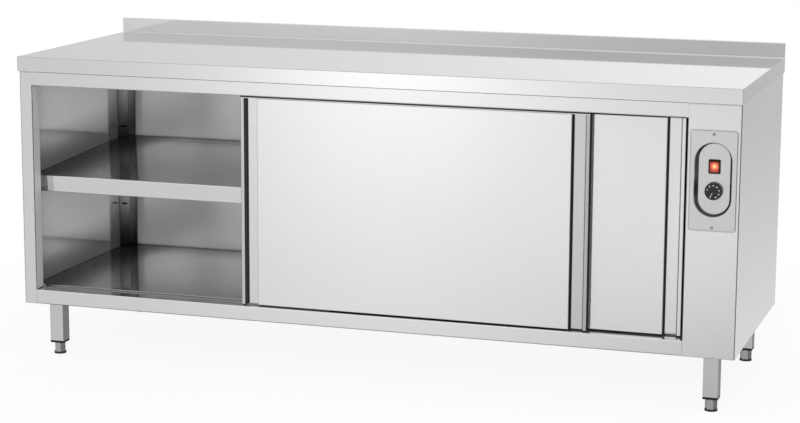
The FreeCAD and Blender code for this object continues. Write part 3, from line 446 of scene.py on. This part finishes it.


# Painted soft shade towards the neighbours that lie in one direction, on the faces that look along one
# axis
def painted_lean_shade(tree, lean, axis, reach, darkest, closed, clear):
    weight = facing(tree, axis) if axis else 1.0
    outlook = vector_node(tree, "ADD", true_normal(tree), scaled(tree, lean, weight))
    outlook = vector_node(tree, "NORMALIZE", outlook)
    share = map_range(tree, openness(tree, reach, outlook), closed, clear, darkest, 1.0)
    return map_range(tree, weight, facing_low, facing_high, 1.0, share) if axis else share


# Painted shade and light by face direction: one share for the faces that look along each axis. With
# deep_from, what lies in front of it keeps 1.
def painted_face_shade(tree, shares, deep_from):
    normal = true_normal(tree)
    squares = vector_node(tree, "MULTIPLY", normal, normal)
    share = vector_node(tree, "DOT_PRODUCT", squares, shares, result="Value")
    if deep_from is None:
        return share
    return map_range(tree, depth(tree), deep_from, deep_from + deep_blend, 1.0, share)


# A painted dark line, standing in for a dark reflection, along the rounded outer edges of the cabinet's
# front half, or along the lower ones alone
def painted_edge_shade(tree, edge_round, darkest, lower_only):
    rounded = rounded_normal(tree, edge_round)
    slant = vector_node(tree, "DOT_PRODUCT", vector_node(tree, "ABSOLUTE", rounded), ones,
                        result="Value")
    line = map_range(tree, slant, slant_low, slant_high, 1.0, darkest)
    if lower_only:
        upward = math_node(tree, "GREATER_THAN", parts_of(tree, rounded)["Z"], least_upward)
        line = math_node(tree, "MAXIMUM", line, upward)
    return math_node(tree, "MAXIMUM", line, is_rear(tree))


# Painted shade on stretches along X: one share for each stretch, and 1 elsewhere. A stretch has its start,
# its end and its share.
def painted_stretch_shade(tree, stretches):
    across = parts_of(tree, object_place(tree))["X"]
    shares = []
    for start, end, share in stretches:
        inside = math_node(tree, "MULTIPLY", math_node(tree, "GREATER_THAN", across, start),
                           math_node(tree, "LESS_THAN", across, end))
        shares.append(map_range(tree, inside, 0.0, 1.0, 1.0, share))
    return product(tree, shares)


# What a steel finish can set. Each finish starts from these values.
# tone, contrast: its tone, and how much the grain varies it
# grain, grain_depth: the axis that the grain runs along, or level for both level axes, and its bump
# seam_reach, seam_dark: width and tone of the painted shade where sheets meet
# edge_round, edge_shade_line, lower_only: radius of the outer edges, and the tone of the painted dark line
# along them
# face_shade_tones, deep_from: painted shade and light for the faces that look along X, Y and Z, and where
# they begin
# front_lit_tone: lighter tone painted on what stands in the cabinet's front half; the rear half keeps the
# darker tone as painted shade
# lean, stretches: painted shade, as painted_lean_shade and painted_stretch_shade take them
# top_roughness: roughness of level faces
# tilt: lean of the mirror image towards the front
plain_steel = {
    "grain": "level", "grain_depth": 0.00001, "contrast": 0.03, "anisotropy": 0.45, "metallic": 0.9,
    "seam_reach": 0.010, "seam_dark": 0.25, "edge_round": 0.0008, "edge_shade_line": 1.0, "lower_only": False,
    "face_shade_tones": None, "deep_from": None, "front_lit_tone": None, "lean": None, "stretches": None,
    "top_roughness": None, "tilt": None,
}


# Rolled stainless sheet. The grain is a noise stretched along one axis, and blurs reflections across it.
def brushed_steel(name, **look):
    look = {**plain_steel, **look}
    material, tree, shader = new_material(name)
    streaks = noise(tree, object_place(tree, grain_scales[look["grain"]]), 1.0, grain_detail)
    # Painted shade in seams, in corners, along edges and on some faces darkens the colour and the specular
    # tint
    shade = painted_steel_shade(tree, look)
    fill(tree, shader, {
        "Base Color": scaled(tree, steel_colour(tree, look, streaks), shade),
        "Specular Tint": scaled(tree, ones, shade),
        "Metallic": look["metallic"],
        "Roughness": steel_roughness(tree, look, streaks),
        "Normal": steel_normal(tree, look, streaks),
        "Anisotropic": look["anisotropy"],
        "Tangent": blur_direction(tree, look["grain"]),
    })
    return material


def steel_colour(tree, look, streaks):
    clouds = math_node(tree, "MULTIPLY", noise(tree, object_place(tree), cloud_scale), cloud_share)
    mottled = math_node(tree, "MULTIPLY_ADD", streaks, streak_share, clouds)
    darker = grey(look["tone"] * (1 - look["contrast"]))
    lighter = grey(look["tone"] * (1 + look["contrast"]))
    colour = mix_colours(tree, mottled, darker, lighter)
    if look["front_lit_tone"] is None:
        return colour
    return mix_colours(tree, is_rear(tree), grey(look["front_lit_tone"]), colour)


# Painted shade of a sheet, 1 where it is open
def painted_steel_shade(tree, look):
    shares = [painted_seam_shade(tree, look["seam_reach"], look["seam_dark"])]
    if look["lean"]:
        shares.append(painted_lean_shade(tree, **look["lean"]))
    if look["face_shade_tones"]:
        shares.append(painted_face_shade(tree, look["face_shade_tones"], look["deep_from"]))
    if look["edge_shade_line"] < 1.0:
        shares.append(painted_edge_shade(tree, look["edge_round"], look["edge_shade_line"], look["lower_only"]))
    if look["stretches"]:
        shares.append(painted_stretch_shade(tree, look["stretches"]))
    return product(tree, shares)


def steel_roughness(tree, look, streaks):
    spread = look["roughness"] * look["contrast"] * roughness_swing
    roughness = map_range(tree, streaks, noise_low, noise_high, look["roughness"] - spread,
                          look["roughness"] + spread)
    if look["top_roughness"] is None:
        return roughness
    return map_range(tree, facing(tree, "Z"), level_low, level_high, roughness, look["top_roughness"])


def steel_normal(tree, look, streaks):
    normal = rounded_normal(tree, look["edge_round"])
    normal = bump(tree, streaks, look["grain_depth"], grain_strength, normal)
    if look["tilt"] is None:
        return normal
    rise = math_node(tree, "MULTIPLY", depth(tree), math.tan(math.radians(look["tilt"])))
    return bump(tree, rise, 1.0, normal=normal)


def blur_direction(tree, grain):
    across = "X" if grain == "z" else "Z"
    return add_node(tree, "ShaderNodeCombineXYZ", {across: 1.0, "Y": blur_depth_share}).outputs["Vector"]


# Painted shade along the front door's handle stiles, for their darker reflections and the shade beside the
# left lip: each lip, the left lip's shaded side and each recess
def handle_shade_stretches():
    low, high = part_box("front_door_handles")
    return (
        (low.x - stile_margin, low.x + stile_lip, left_lip_shade),
        (low.x + stile_shade_start, low.x + stile_recess, left_shade_share),
        (low.x + stile_recess, low.x + stile_width, left_recess_shade),
        (high.x - stile_width, high.x - stile_lip, right_recess_shade),
        (high.x - stile_lip, high.x + stile_margin, right_lip_shade),
    )


# Steel finishes by name. The values that several of them share come first.
def steel_looks():
    panel = {"tone": 0.72, "roughness": 0.13}
    rail = {**panel, "seam_reach": 0.006}
    # Doors: the edges and recess walls that look along X are painted near black, as shade
    door = {"tone": 0.74, "roughness": 0.13, "seam_reach": 0.006, "face_shade_tones": (0.05, 1.0, 1.0)}
    handle = {**door, "seam_dark": 0.55}
    even = {"contrast": 0.01, "anisotropy": 0.0}
    mirror = {**even, "roughness": 0.03, "grain": "x", "grain_depth": 0.000001, "metallic": 0.93,
              "seam_reach": 0.004, "lean": post_lean}
    plate_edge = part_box("control_plate")[0].y + plate_edge_radius
    return {
        # Worktop: a painted dark line along its rounded front edge
        "worktop_steel": {"tone": 0.72, "roughness": 0.045, "grain": "x", "seam_dark": 0.8,
                          "edge_shade_line": 0.75, "tilt": worktop_tilt},
        # Body: a painted dark line along its rounded corners
        "body_steel": {**panel, "edge_round": 0.0022, "edge_shade_line": 0.25},
        "rail_steel": rail,
        # Sill: a painted dark line along its lower edges, and its top painted lighter as a highlight
        "sill_steel": {**rail, "edge_round": 0.0020, "edge_shade_line": 0.30, "lower_only": True,
                       "face_shade_tones": (1.0, 1.0, 1.15), "top_roughness": 0.03},
        "weld_steel": {"tone": 0.70, "roughness": 0.14, "grain": "z", "seam_dark": 1.0},
        "dull_steel": {"tone": 0.66, "roughness": 0.5, "grain": "z", "contrast": 0.02, "anisotropy": 0.0,
                       "metallic": 0.3},
        "door_steel": {**door, "seam_dark": 0.10},
        "handle_steel": handle,
        "front_handle_steel": {**handle, "stretches": handle_shade_stretches()},
        # Lining: its side walls painted darker near what lies below them, as shade
        "lining_steel": {**even, "tone": 0.90, "roughness": 0.06, "grain_depth": 0.000002,
                         "metallic": 0.70, "seam_reach": 0.005, "lean": wall_lean},
        "back_lining_steel": {"tone": 0.74, "roughness": 0.22, "grain_depth": 0.000001, "contrast": 0.004,
                              "anisotropy": 0.0, "metallic": 0.40},
        # Shelf and floor pan: painted shade towards the left wall, and their front faces painted darker
        "shelf_steel": {**mirror, "tone": 0.96, "face_shade_tones": (1.0, 0.76, 1.0)},
        "floor_steel": {**mirror, "tone": 0.98, "face_shade_tones": (1.0, 0.30, 1.0)},
        # Uprights: painted shade that deepens towards their feet, and the rear half painted darker than
        # the front
        "upright_steel": {**even, "tone": 0.42, "roughness": 0.12, "grain": "z", "metallic": 1.0,
                          "seam_reach": 0.004, "seam_dark": 0.3, "front_lit_tone": 0.6,
                          "lean": upright_lean},
        # Legs: their sides painted darker, as shade
        "leg_steel": {"tone": 0.62, "roughness": 0.18, "grain": "z", "face_shade_tones": (0.55, 1.0, 1.0)},
        # Control plate: the dish's side walls painted dark and its lower wall dimmer, as shade
        "plate_steel": {"tone": 0.625, "roughness": 0.22, "grain": "z", "contrast": 0.01,
                        "anisotropy": 0.2, "seam_reach": 0.006, "seam_dark": 0.7,
                        "face_shade_tones": (0.04, 1.0, 0.16), "deep_from": plate_edge},
        # Screw heads: rims and sides painted dark, as shade and dark reflection
        "screw_steel": {"tone": 0.98, "roughness": 0.10, "grain": "x", "contrast": 0.02,
                        "anisotropy": 0.0, "metallic": 1.0, "seam_reach": 0.004, "seam_dark": 0.05,
                        "edge_round": 0.0028, "edge_shade_line": 0.10, "face_shade_tones": (0.1, 1.0, 0.1)},
        "element_steel": {"tone": 0.22, "roughness": 0.35, "grain": "z", "contrast": 0.08,
                          "anisotropy": 0.0},
        "fan_aluminium": {"tone": 0.70, "roughness": 0.35, "grain": "y", "contrast": 0.04,
                          "anisotropy": 0.0},
    }


# Zinc plating with its crystal pattern
def zinc_plated(name):
    material, tree, shader = new_material(name)
    crystals = to_grey(tree, cells(tree, object_place(tree), zinc_crystals, "Color"))
    darker = grey(zinc_tone * (1 - zinc_tone_spread), zinc_warmth)
    lighter = grey(zinc_tone * (1 + zinc_tone_spread), zinc_warmth)
    roughness = map_range(tree, crystals, 0.0, 1.0, zinc_roughness * (1 - zinc_roughness_spread),
                          zinc_roughness * (1 + zinc_roughness_spread))
    fill(tree, shader, {
        "Base Color": mix_colours(tree, crystals, darker, lighter),
        "Metallic": zinc_metallic,
        "Roughness": roughness,
    })
    return material


# Moulded or turned plastic and rubber with a fine texture
moulded_looks = {
    "motor_paint": {"colour": (0.03, 0.03, 0.034), "roughness": 0.45},
    "black_plastic": {"colour": (0.008, 0.008, 0.008), "roughness": 0.42, "gloss": 0.2},
    "black_rubber": {"colour": (0.02, 0.02, 0.02), "roughness": 0.8},
    "guide_nylon": {"colour": (0.05, 0.05, 0.05), "roughness": 0.4},
    "white_nylon": {"colour": (0.78, 0.78, 0.74), "roughness": 0.4},
    "knob_plastic": {"colour": (0.014, 0.014, 0.015), "roughness": 0.38, "gloss": 0.3},
    "knob_ink": {"colour": (0.72, 0.72, 0.70), "roughness": 0.5},
    "cream_plastic": {"colour": (0.72, 0.66, 0.52), "roughness": 0.45},
    "grey_sleeve": {"colour": (0.16, 0.16, 0.17), "roughness": 0.7, "grain_size": 0.002,
                    "grain_depth": 0.0003},
}


def moulded(name, colour, roughness, gloss=0.5, grain_size=0.0006, grain_depth=0.00003):
    material, tree, shader = new_material(name)
    speckle = noise(tree, object_place(tree), 1 / grain_size)
    darker = tuple(channel * speckle_dark for channel in colour) + (1.0,)
    lighter = tuple(channel * speckle_light for channel in colour) + (1.0,)
    spread = roughness * speckle_roughness_spread
    varied = map_range(tree, speckle, noise_low, noise_high, roughness - spread, roughness + spread)
    fill(tree, shader, {
        "Base Color": mix_colours(tree, speckle, darker, lighter),
        "Roughness": varied,
        "Specular IOR Level": gloss,
        "Normal": bump(tree, speckle, grain_depth, speckle_strength),
    })
    return material


# Chips and fibres of the hidden board, wool and honeycomb. The scale is in cells per metre.
fibrous_looks = {
    "laminated_board": {"dark": (0.25, 0.16, 0.09, 1.0), "light": (0.62, 0.47, 0.30, 1.0), "scale": 160.0},
    "mineral_wool": {"dark": (0.45, 0.40, 0.22, 1.0), "light": (0.75, 0.70, 0.50, 1.0), "scale": 300.0},
    "door_core": {"dark": (0.50, 0.44, 0.30, 1.0), "light": (0.80, 0.76, 0.62, 1.0), "scale": 90.0},
}


def fibrous(name, dark, light, scale):
    material, tree, shader = new_material(name)
    flecks = cells(tree, object_place(tree, fleck_stretch), scale, "Distance")
    fibre = noise(tree, object_place(tree, fibre_stretch), scale * fibre_fineness, fibre_detail)
    share = math_node(tree, "MULTIPLY", flecks, fibre, clamp=True)
    share = map_range(tree, share, 0.0, fibre_high, 0.0, 1.0)
    fill(tree, shader, {
        "Base Color": mix_colours(tree, share, dark, light),
        "Roughness": fibre_roughness,
        "Normal": bump(tree, fibre, fibre_depth, fibre_strength),
    })
    return material


# Clear red cap lit by a lamp behind its middle
def lit_lens(name, node):
    material, tree, shader = new_material(name)
    low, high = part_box(node)
    middle = (low + high) / 2
    lamp = Vector((middle.x, low.y, middle.z)) + Vector(lens_lamp_offset)
    away = vector_node(tree, "DISTANCE", object_place(tree), lamp, result="Value")
    nearness = map_range(tree, away, lens_near, lens_far, 1.0, 0.0)
    fill(tree, shader, {
        "Base Color": lens_red,
        "Roughness": lens_roughness,
        "Coat Weight": lens_coat,
        "Emission Color": colour_ramp(tree, nearness, lens_glow),
        "Emission Strength": lens_glow_strength,
    })
    return material


# Levelling foot: satin steel over a black pad, with a thread on the stem
def foot_material(name):
    material, tree, shader = new_material(name)
    height = parts_of(tree, object_place(tree))["Z"]
    is_steel = math_node(tree, "GREATER_THAN", height, foot_pad_height)
    is_stem = math_node(tree, "GREATER_THAN", height, foot_hex_top)
    streaks = noise(tree, object_place(tree, foot_grain_scale), 1.0, grain_detail)
    steel = mix_colours(tree, streaks, grey(foot_tone * (1 - foot_tone_spread)),
                        grey(foot_tone * (1 + foot_tone_spread)))
    wave = math_node(tree, "SINE", math_node(tree, "MULTIPLY", height, 2 * math.pi / foot_thread_pitch))
    thread = math_node(tree, "MULTIPLY", wave, is_stem)
    fill(tree, shader, {
        "Base Color": mix_colours(tree, is_steel, grey(pad_tone), steel),
        "Metallic": map_range(tree, is_steel, 0.0, 1.0, 0.0, foot_metallic),
        "Roughness": map_range(tree, is_steel, 0.0, 1.0, pad_roughness, foot_roughness),
        "Normal": bump(tree, thread, foot_thread_depth),
    })
    return material


def make_finishes():
    finishes = {name: brushed_steel(name, **look) for name, look in steel_looks().items()}
    finishes.update({name: moulded(name, **look) for name, look in moulded_looks.items()})
    finishes.update({name: fibrous(name, **look) for name, look in fibrous_looks.items()})
    finishes["zinc_plated_steel"] = zinc_plated("zinc_plated_steel")
    finishes["foot_steel"] = foot_material("foot_steel")
    finishes["red_lens"] = lit_lens("red_lens", "switch_rocker")
    return finishes


# Nodes with another finish than the rest of their slot
own_finishes = {
    "front_door_handles": "front_handle_steel", "rear_door_handles": "handle_steel",
    "front_top_rail": "rail_steel", "front_bottom_rail": "sill_steel", "floor_pan": "floor_steel",
    "shelf_uprights": "upright_steel", "back_wall_liner": "back_lining_steel",
    "door_floor_guide": "guide_nylon",
}


def paint(finishes):
    for part in frame["record"]["subparts"]:
        finish = own_finishes.get(part["node"], part["material_slot"])
        for holder in frame["nodes"][part["node"]].material_slots:
            holder.material = finishes[finish]


# Pieces
def new_piece(name, mesh, body, material):
    piece = bpy.data.objects.new(name, mesh)
    bpy.context.scene.collection.objects.link(piece)
    mesh.materials.append(material)
    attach(piece, body)
    return piece


def box_piece(name, low, high, body, material):
    bm = bmesh.new()
    place = Matrix.Translation((low + high) / 2) @ Matrix.Diagonal((*(high - low), 1.0))
    bmesh.ops.create_cube(bm, size=1.0, matrix=place)
    return new_piece(name, mesh_from(name, bm), body, material)


def mesh_from(name, bm):
    bmesh.ops.recalc_face_normals(bm, faces=bm.faces)
    mesh = bpy.data.meshes.new(name)
    bm.to_mesh(mesh)
    bm.free()
    for polygon in mesh.polygons:
        polygon.use_smooth = False
    return mesh


# Faces between two rings of as many points
def join_rings(bm, first, second):
    for index in range(len(first)):
        following = (index + 1) % len(first)
        bm.faces.new((first[index], first[following], second[following], second[index]))


# A turned shape about the knob's axis, with ribs on its rim. The profile is radius, depth, rib share.
def turned(profile, centre, sides):
    bm = bmesh.new()
    rings = []
    for radius, place, rib_share in profile:
        ring = []
        for index in range(sides):
            angle = 2 * math.pi * index / sides
            groove = (1 - math.cos(angle * knob_rib_count)) / 2 * knob_rib_depth * rib_share
            reach = radius - groove
            ring.append(bm.verts.new((centre.x + reach * math.sin(angle), place,
                                      centre.z + reach * math.cos(angle))))
        rings.append(ring)
    for before, after in zip(rings, rings[1:]):
        join_rings(bm, before, after)
    bm.faces.new(rings[0])
    bm.faces.new(rings[-1])
    return bm


# A bent sheet that runs along X. The outline is its middle line in Y and Z.
def bent_sheet(name, outline, sheet, low_x, high_x):
    bm = bmesh.new()
    points = [Vector((0.0, y, z)) for y, z in outline]
    sides = []
    for index, point in enumerate(points):
        before = points[max(index - 1, 0)]
        after = points[min(index + 1, len(points) - 1)]
        into = (point - before).normalized() if index else (after - point).normalized()
        out = (after - point).normalized() if index < len(points) - 1 else into
        along = (into + out).normalized()
        normal = Vector((0.0, -along.z, along.y))
        squareness = max(normal.dot(Vector((0.0, -into.z, into.y))), sharpest_bend_share)
        reach = sheet / 2 / squareness
        sides.append((point + normal * reach, point - normal * reach))
    ring = [side[0] for side in sides] + [side[1] for side in reversed(sides)]
    ends = [[bm.verts.new(Vector((x, point.y, point.z))) for point in ring] for x in (low_x, high_x)]
    join_rings(bm, *ends)
    for end in ends:
        for index in range(len(outline) - 1):
            bm.faces.new((end[index], end[index + 1], end[-index - 2], end[-index - 1]))
    return mesh_from(name, bm)


# The shelf's top runs on between the rear uprights, and is turned down along the back wall
def make_shelf_lip(finishes):
    low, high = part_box("shelf")
    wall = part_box("back_wall_liner")[0].y
    slope = (high.z - low.z - shelf_flange) / (high.y - low.y)
    top = high.z - shelf_sheet / 2
    start = (high.y - shelf_flange * slope, top)
    fold = (wall - shelf_lip_gap, top + (wall - shelf_lip_gap - start[0]) * slope)
    corner = (fold[0] - shelf_lip_fold, fold[1] - shelf_lip_fold * slope)
    turned_down = (fold[0], fold[1] - shelf_lip_fold)
    hem = (fold[0], fold[1] - shelf_lip_hem)
    reach = shelf_lip_end_gap + upright_width
    mesh = bent_sheet("shelf_lip", (start, corner, turned_down, hem), shelf_sheet,
                      low.x + reach, high.x - reach)
    new_piece("shelf_lip", mesh, "shelf", finishes["shelf_steel"])


def make_jamb_strip(finishes):
    low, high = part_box("left_outer_panel")
    sill_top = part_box("front_bottom_rail")[1].z
    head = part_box("front_top_rail")[0].z
    start = high.x + jamb_strip_lift
    box_piece("left_jamb_strip",
              Vector((start, low.y + jamb_strip_inset, sill_top + jamb_strip_inset)),
              Vector((start + jamb_strip_sheet, low.y + jamb_strip_depth, head - jamb_strip_inset)),
              "root", finishes["dull_steel"])


def make_corner_plate(finishes):
    pan_low, pan_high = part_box("floor_pan")
    upright_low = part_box("shelf_uprights")[0]
    sill_low, sill_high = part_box("front_bottom_rail")
    gap = Vector((corner_clearance, corner_clearance, corner_clearance))
    box_piece("left_corner_plate",
              Vector((pan_low.x, upright_low.y, sill_high.z)) + gap,
              Vector((sill_low.x, pan_low.y, pan_high.z)) - gap,
              "root", finishes["dull_steel"])


# Black strips stand in for the shade in the gap above the doors
def make_door_shade_strips(finishes):
    for door, cap_height in (("front_door", door_cap_height), ("rear_door", 0.0)):
        low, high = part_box(door + "_handles")
        back = low.y + shade_strip_thickness
        foot = high.z + cap_height
        box_piece(door + "_lip", Vector((low.x, low.y, foot)), Vector((high.x, back, high.z + shade_strip_height)),
                  door, finishes["black_rubber"])
        if cap_height:
            box_piece(door + "_cap", Vector((low.x, low.y, high.z)), Vector((high.x, back, foot)),
                      door, finishes["rail_steel"])


def make_seal(finishes):
    low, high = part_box("rear_door_back_skin")
    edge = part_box("right_outer_panel")[0].x - seal_inset
    front = high.y + seal_gap
    box_piece("right_seal", Vector((edge - seal_width, front, low.z)),
              Vector((edge, front + seal_thickness, high.z)),
              "root", finishes["black_rubber"])


def make_welds(finishes):
    for rail in ("front_top_rail", "front_bottom_rail"):
        low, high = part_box(rail)
        front = low.y + weld_sink
        for side, middle in (("left", low.x), ("right", high.x)):
            box_piece(rail + "_" + side + "_weld",
                      Vector((middle - weld_width / 2, front, low.z + weld_sink)),
                      Vector((middle + weld_width / 2, front + weld_depth, high.z - weld_sink)),
                      "root", finishes["weld_steel"])


def make_knob(finishes):
    low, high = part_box("thermostat_knob")
    centre = (low + high) / 2
    radius = (high.x - low.x) / 2
    front = low.y
    face = front + knob_face_dip
    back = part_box("control_plate")[1].y - dish_sheet - knob_stand_off
    profile = [
        (knob_stem_radius, high.y, 0),
        (knob_stem_radius, back, 0),
        (radius * knob_back_share, back, 0),
        (radius, back - knob_back_chamfer, 1),
        (radius, front + knob_rib_end, 1),
        (radius - knob_chamfer, front + knob_shoulder, 0),
        (radius - knob_rim_outer, front, 0),
        (radius - knob_rim_inner, front, 0),
        (radius - knob_dip_inset, face, 0),
        (radius * knob_hub_share, face, 0),
    ]
    mesh = mesh_from("knob", turned(profile, centre, knob_rib_count * knob_sides_per_rib))
    knob = new_piece("knob", mesh, "knob", finishes["knob_plastic"])
    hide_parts("thermostat_knob")
    middle = Vector((centre.x, face - knob_mark_lift, centre.z))
    for name, marks in (("knob_numbers", numbers_mesh(middle)), ("knob_pointer", pointer_mesh(middle))):
        new_piece(name, marks, "knob", finishes["knob_ink"])


# Plain numbers round the knob's face
def numbers_mesh(middle):
    bm = bmesh.new()
    for index in range(knob_number_count):
        angle = math.radians(knob_first_angle + knob_angle_step * index)
        number = number_mesh(str(knob_first_number + knob_number_step * index))
        reach = Matrix.Translation((0.0, knob_number_radius, 0.0))
        turn = Matrix.Rotation(-angle, 4, "Z")
        upright = Matrix.Rotation(math.radians(90), 4, "X")
        number.transform(Matrix.Translation(middle) @ upright @ turn @ reach)
        bm.from_mesh(number)
        bpy.data.meshes.remove(number)
    return mesh_from("knob_numbers", bm)


def number_mesh(text):
    curve = bpy.data.curves.new("number", "FONT")
    curve.body = text
    curve.size = knob_number_size
    curve.align_x = "CENTER"
    curve.align_y = "CENTER"
    curve.extrude = knob_mark_lift
    holder = bpy.data.objects.new("number", curve)
    bpy.context.scene.collection.objects.link(holder)
    mesh = bpy.data.meshes.new_from_object(holder)
    bpy.data.objects.remove(holder)
    bpy.data.curves.remove(curve)
    return mesh


# A line on the knob's face that widens outwards
def pointer_mesh(middle):
    bm = bmesh.new()
    angle = math.radians(knob_pointer_angle)
    out = Vector((math.sin(angle), 0, math.cos(angle)))
    side = Vector((math.cos(angle), 0, -math.sin(angle))) * knob_pointer_width / 2
    inner, outer = middle + out * knob_pointer_inner, middle + out * knob_pointer_outer
    narrow = side * knob_pointer_taper_share
    corners = (inner - narrow, inner + narrow, outer + side, outer - side)
    lift = Vector((0, knob_mark_lift, 0))
    front = [bm.verts.new(corner - lift) for corner in corners]
    back = [bm.verts.new(corner + lift) for corner in corners]
    bm.faces.new(front)
    bm.faces.new(back)
    join_rings(bm, front, back)
    return mesh_from("knob_pointer", bm)


# Studio
def height_curve(tree, height, levels):
    stops = [((level + 1) / 2, grey(value)) for level, value in levels]
    return to_grey(tree, colour_ramp(tree, map_range(tree, height, -1.0, 1.0, 0.0, 1.0), stops))


# A bell that is 1 in the middle and a half at the half width
def bell(tree, squared_share):
    return math_node(tree, "EXPONENT", math_node(tree, "MULTIPLY", squared_share, -math.log(2)))


# Whether a ray comes from the camera, and whether it comes from metal or glass
def ray_kinds(tree):
    ray = add_node(tree, "ShaderNodeLightPath").outputs
    shiny_ray = math_node(tree, "MAXIMUM", ray["Is Glossy Ray"], ray["Is Transmission Ray"])
    return ray["Is Camera Ray"], shiny_ray


# Share of one glow in the direction that a ray looks in, given as its level heading and its height
def glow_share(tree, level, height, glow_heading, glow_height, half_width, half_height):
    turn = math.radians(glow_heading)
    middle = (math.sin(turn), -math.cos(turn), 0.0)
    near = vector_node(tree, "DOT_PRODUCT", level, middle, result="Value")
    sideways = math_node(tree, "SUBTRACT", 1.0, near)
    sideways = math_node(tree, "DIVIDE", sideways, 1 - math.cos(math.radians(half_width)))
    upwards = math_node(tree, "SUBTRACT", height, glow_height)
    upwards = math_node(tree, "DIVIDE", upwards, half_height)
    upwards = math_node(tree, "MULTIPLY", upwards, upwards)
    return bell(tree, math_node(tree, "ADD", sideways, upwards))


# Strength of the background as metal and glass show it
def mirrored_level(tree):
    parts = parts_of(tree, add_node(tree, "ShaderNodeTexCoord").outputs["Generated"])
    height = parts["Z"]
    level = add_node(tree, "ShaderNodeCombineXYZ", {"X": parts["X"], "Y": parts["Y"]}).outputs["Vector"]
    level = vector_node(tree, "NORMALIZE", level)
    behind = map_range(tree, parts["Y"], -side_blend, side_blend, 0.0, 1.0, smooth=True)
    result = map_range(tree, behind, 0.0, 1.0, front_level, rear_level)
    for *place_and_size, gain in glows:
        glow = glow_share(tree, level, height, *place_and_size)
        result = math_node(tree, "ADD", result, math_node(tree, "MULTIPLY", glow, gain))
    rear = height_curve(tree, height, rear_heights)
    heights = add_node(tree, "ShaderNodeMix", {0: behind, 2: 1.0, 3: rear}).outputs[0]
    return math_node(tree, "MULTIPLY", result, heights)


def background(tree, level):
    inputs = {"Color": white, "Strength": level}
    return add_node(tree, "ShaderNodeBackground", inputs).outputs["Background"]


# Plain white for the camera, lit and dim places for metal and glass, and soft light for the rest
def make_surroundings():
    world = bpy.data.worlds.new("studio")
    bpy.context.scene.world = world
    tree = clear_tree(world)
    camera_ray, shiny_ray = ray_kinds(tree)
    unseen = mix_shaders(tree, shiny_ray, background(tree, plain_level),
                         background(tree, mirrored_level(tree)))
    both = mix_shaders(tree, camera_ray, unseen, background(tree, 1.0))
    add_node(tree, "ShaderNodeOutputWorld", {"Surface": both})


# White floor that keeps a faint shadow of the cabinet
def make_floor():
    half = floor_half_size
    mesh = bpy.data.meshes.new("floor")
    mesh.from_pydata([(-half, -half, 0), (half, -half, 0), (half, half, 0), (-half, half, 0)], [],
                     [(0, 1, 2, 3)])
    floor = bpy.data.objects.new("floor", mesh)
    bpy.context.scene.collection.objects.link(floor)
    floor.visible_glossy = False
    mesh.materials.append(floor_material())


def floor_material():
    material = bpy.data.materials.new("floor_paint")
    tree = clear_tree(material)
    paint_layer = add_node(tree, "ShaderNodeBsdfDiffuse", {"Color": floor_white}).outputs["BSDF"]
    glow = add_node(tree, "ShaderNodeEmission", {"Color": white, "Strength": 1.0}).outputs["Emission"]
    away = vector_node(tree, "LENGTH", object_place(tree), result="Value")
    clear = map_range(tree, away, floor_shadow_start, floor_shadow_reach, 1 - floor_shadow_share, 1.0,
                      smooth=True)
    share = math_node(tree, "MULTIPLY", math_node(tree, "MAXIMUM", *ray_kinds(tree)), clear)
    add_node(tree, "ShaderNodeOutputMaterial", {"Surface": mix_shaders(tree, share, paint_layer, glow)})
    return material


def make_lamp():
    data = bpy.data.lights.new("soft_lamp", "AREA")
    data.shape = "SQUARE"
    data.size = lamp_side
    data.energy = lamp_power
    lamp = bpy.data.objects.new("soft_lamp", data)
    bpy.context.scene.collection.objects.link(lamp)
    lamp.location = lamp_place
    aim = Vector(lamp_aim) - Vector(lamp_place)
    lamp.rotation_euler = aim.to_track_quat("-Z", "Y").to_euler()
    lamp.visible_glossy = False


def make_camera():
    data = bpy.data.cameras.new("camera")
    data.lens = camera_lens
    data.sensor_width = sensor_width
    camera = bpy.data.objects.new("camera", data)
    bpy.context.scene.collection.objects.link(camera)
    tilt = Euler((math.radians(90 + camera_pitch), 0.0, math.radians(camera_heading))).to_matrix()
    roll = Matrix.Rotation(math.radians(camera_roll), 3, "Z")
    camera.matrix_world = Matrix.Translation(camera_place) @ (tilt @ roll).to_4x4()
    bpy.context.scene.camera = camera


def main():
    bpy.context.scene.view_settings.view_transform = "Standard"
    make_camera()
    make_surroundings()
    make_lamp()
    make_floor()
    finishes = make_finishes()
    paint(finishes)
    make_knob(finishes)
    make_shelf_lip(finishes)
    make_jamb_strip(finishes)
    make_welds(finishes)
    make_seal(finishes)
    make_corner_plate(finishes)
    make_door_shade_strips(finishes)


main()
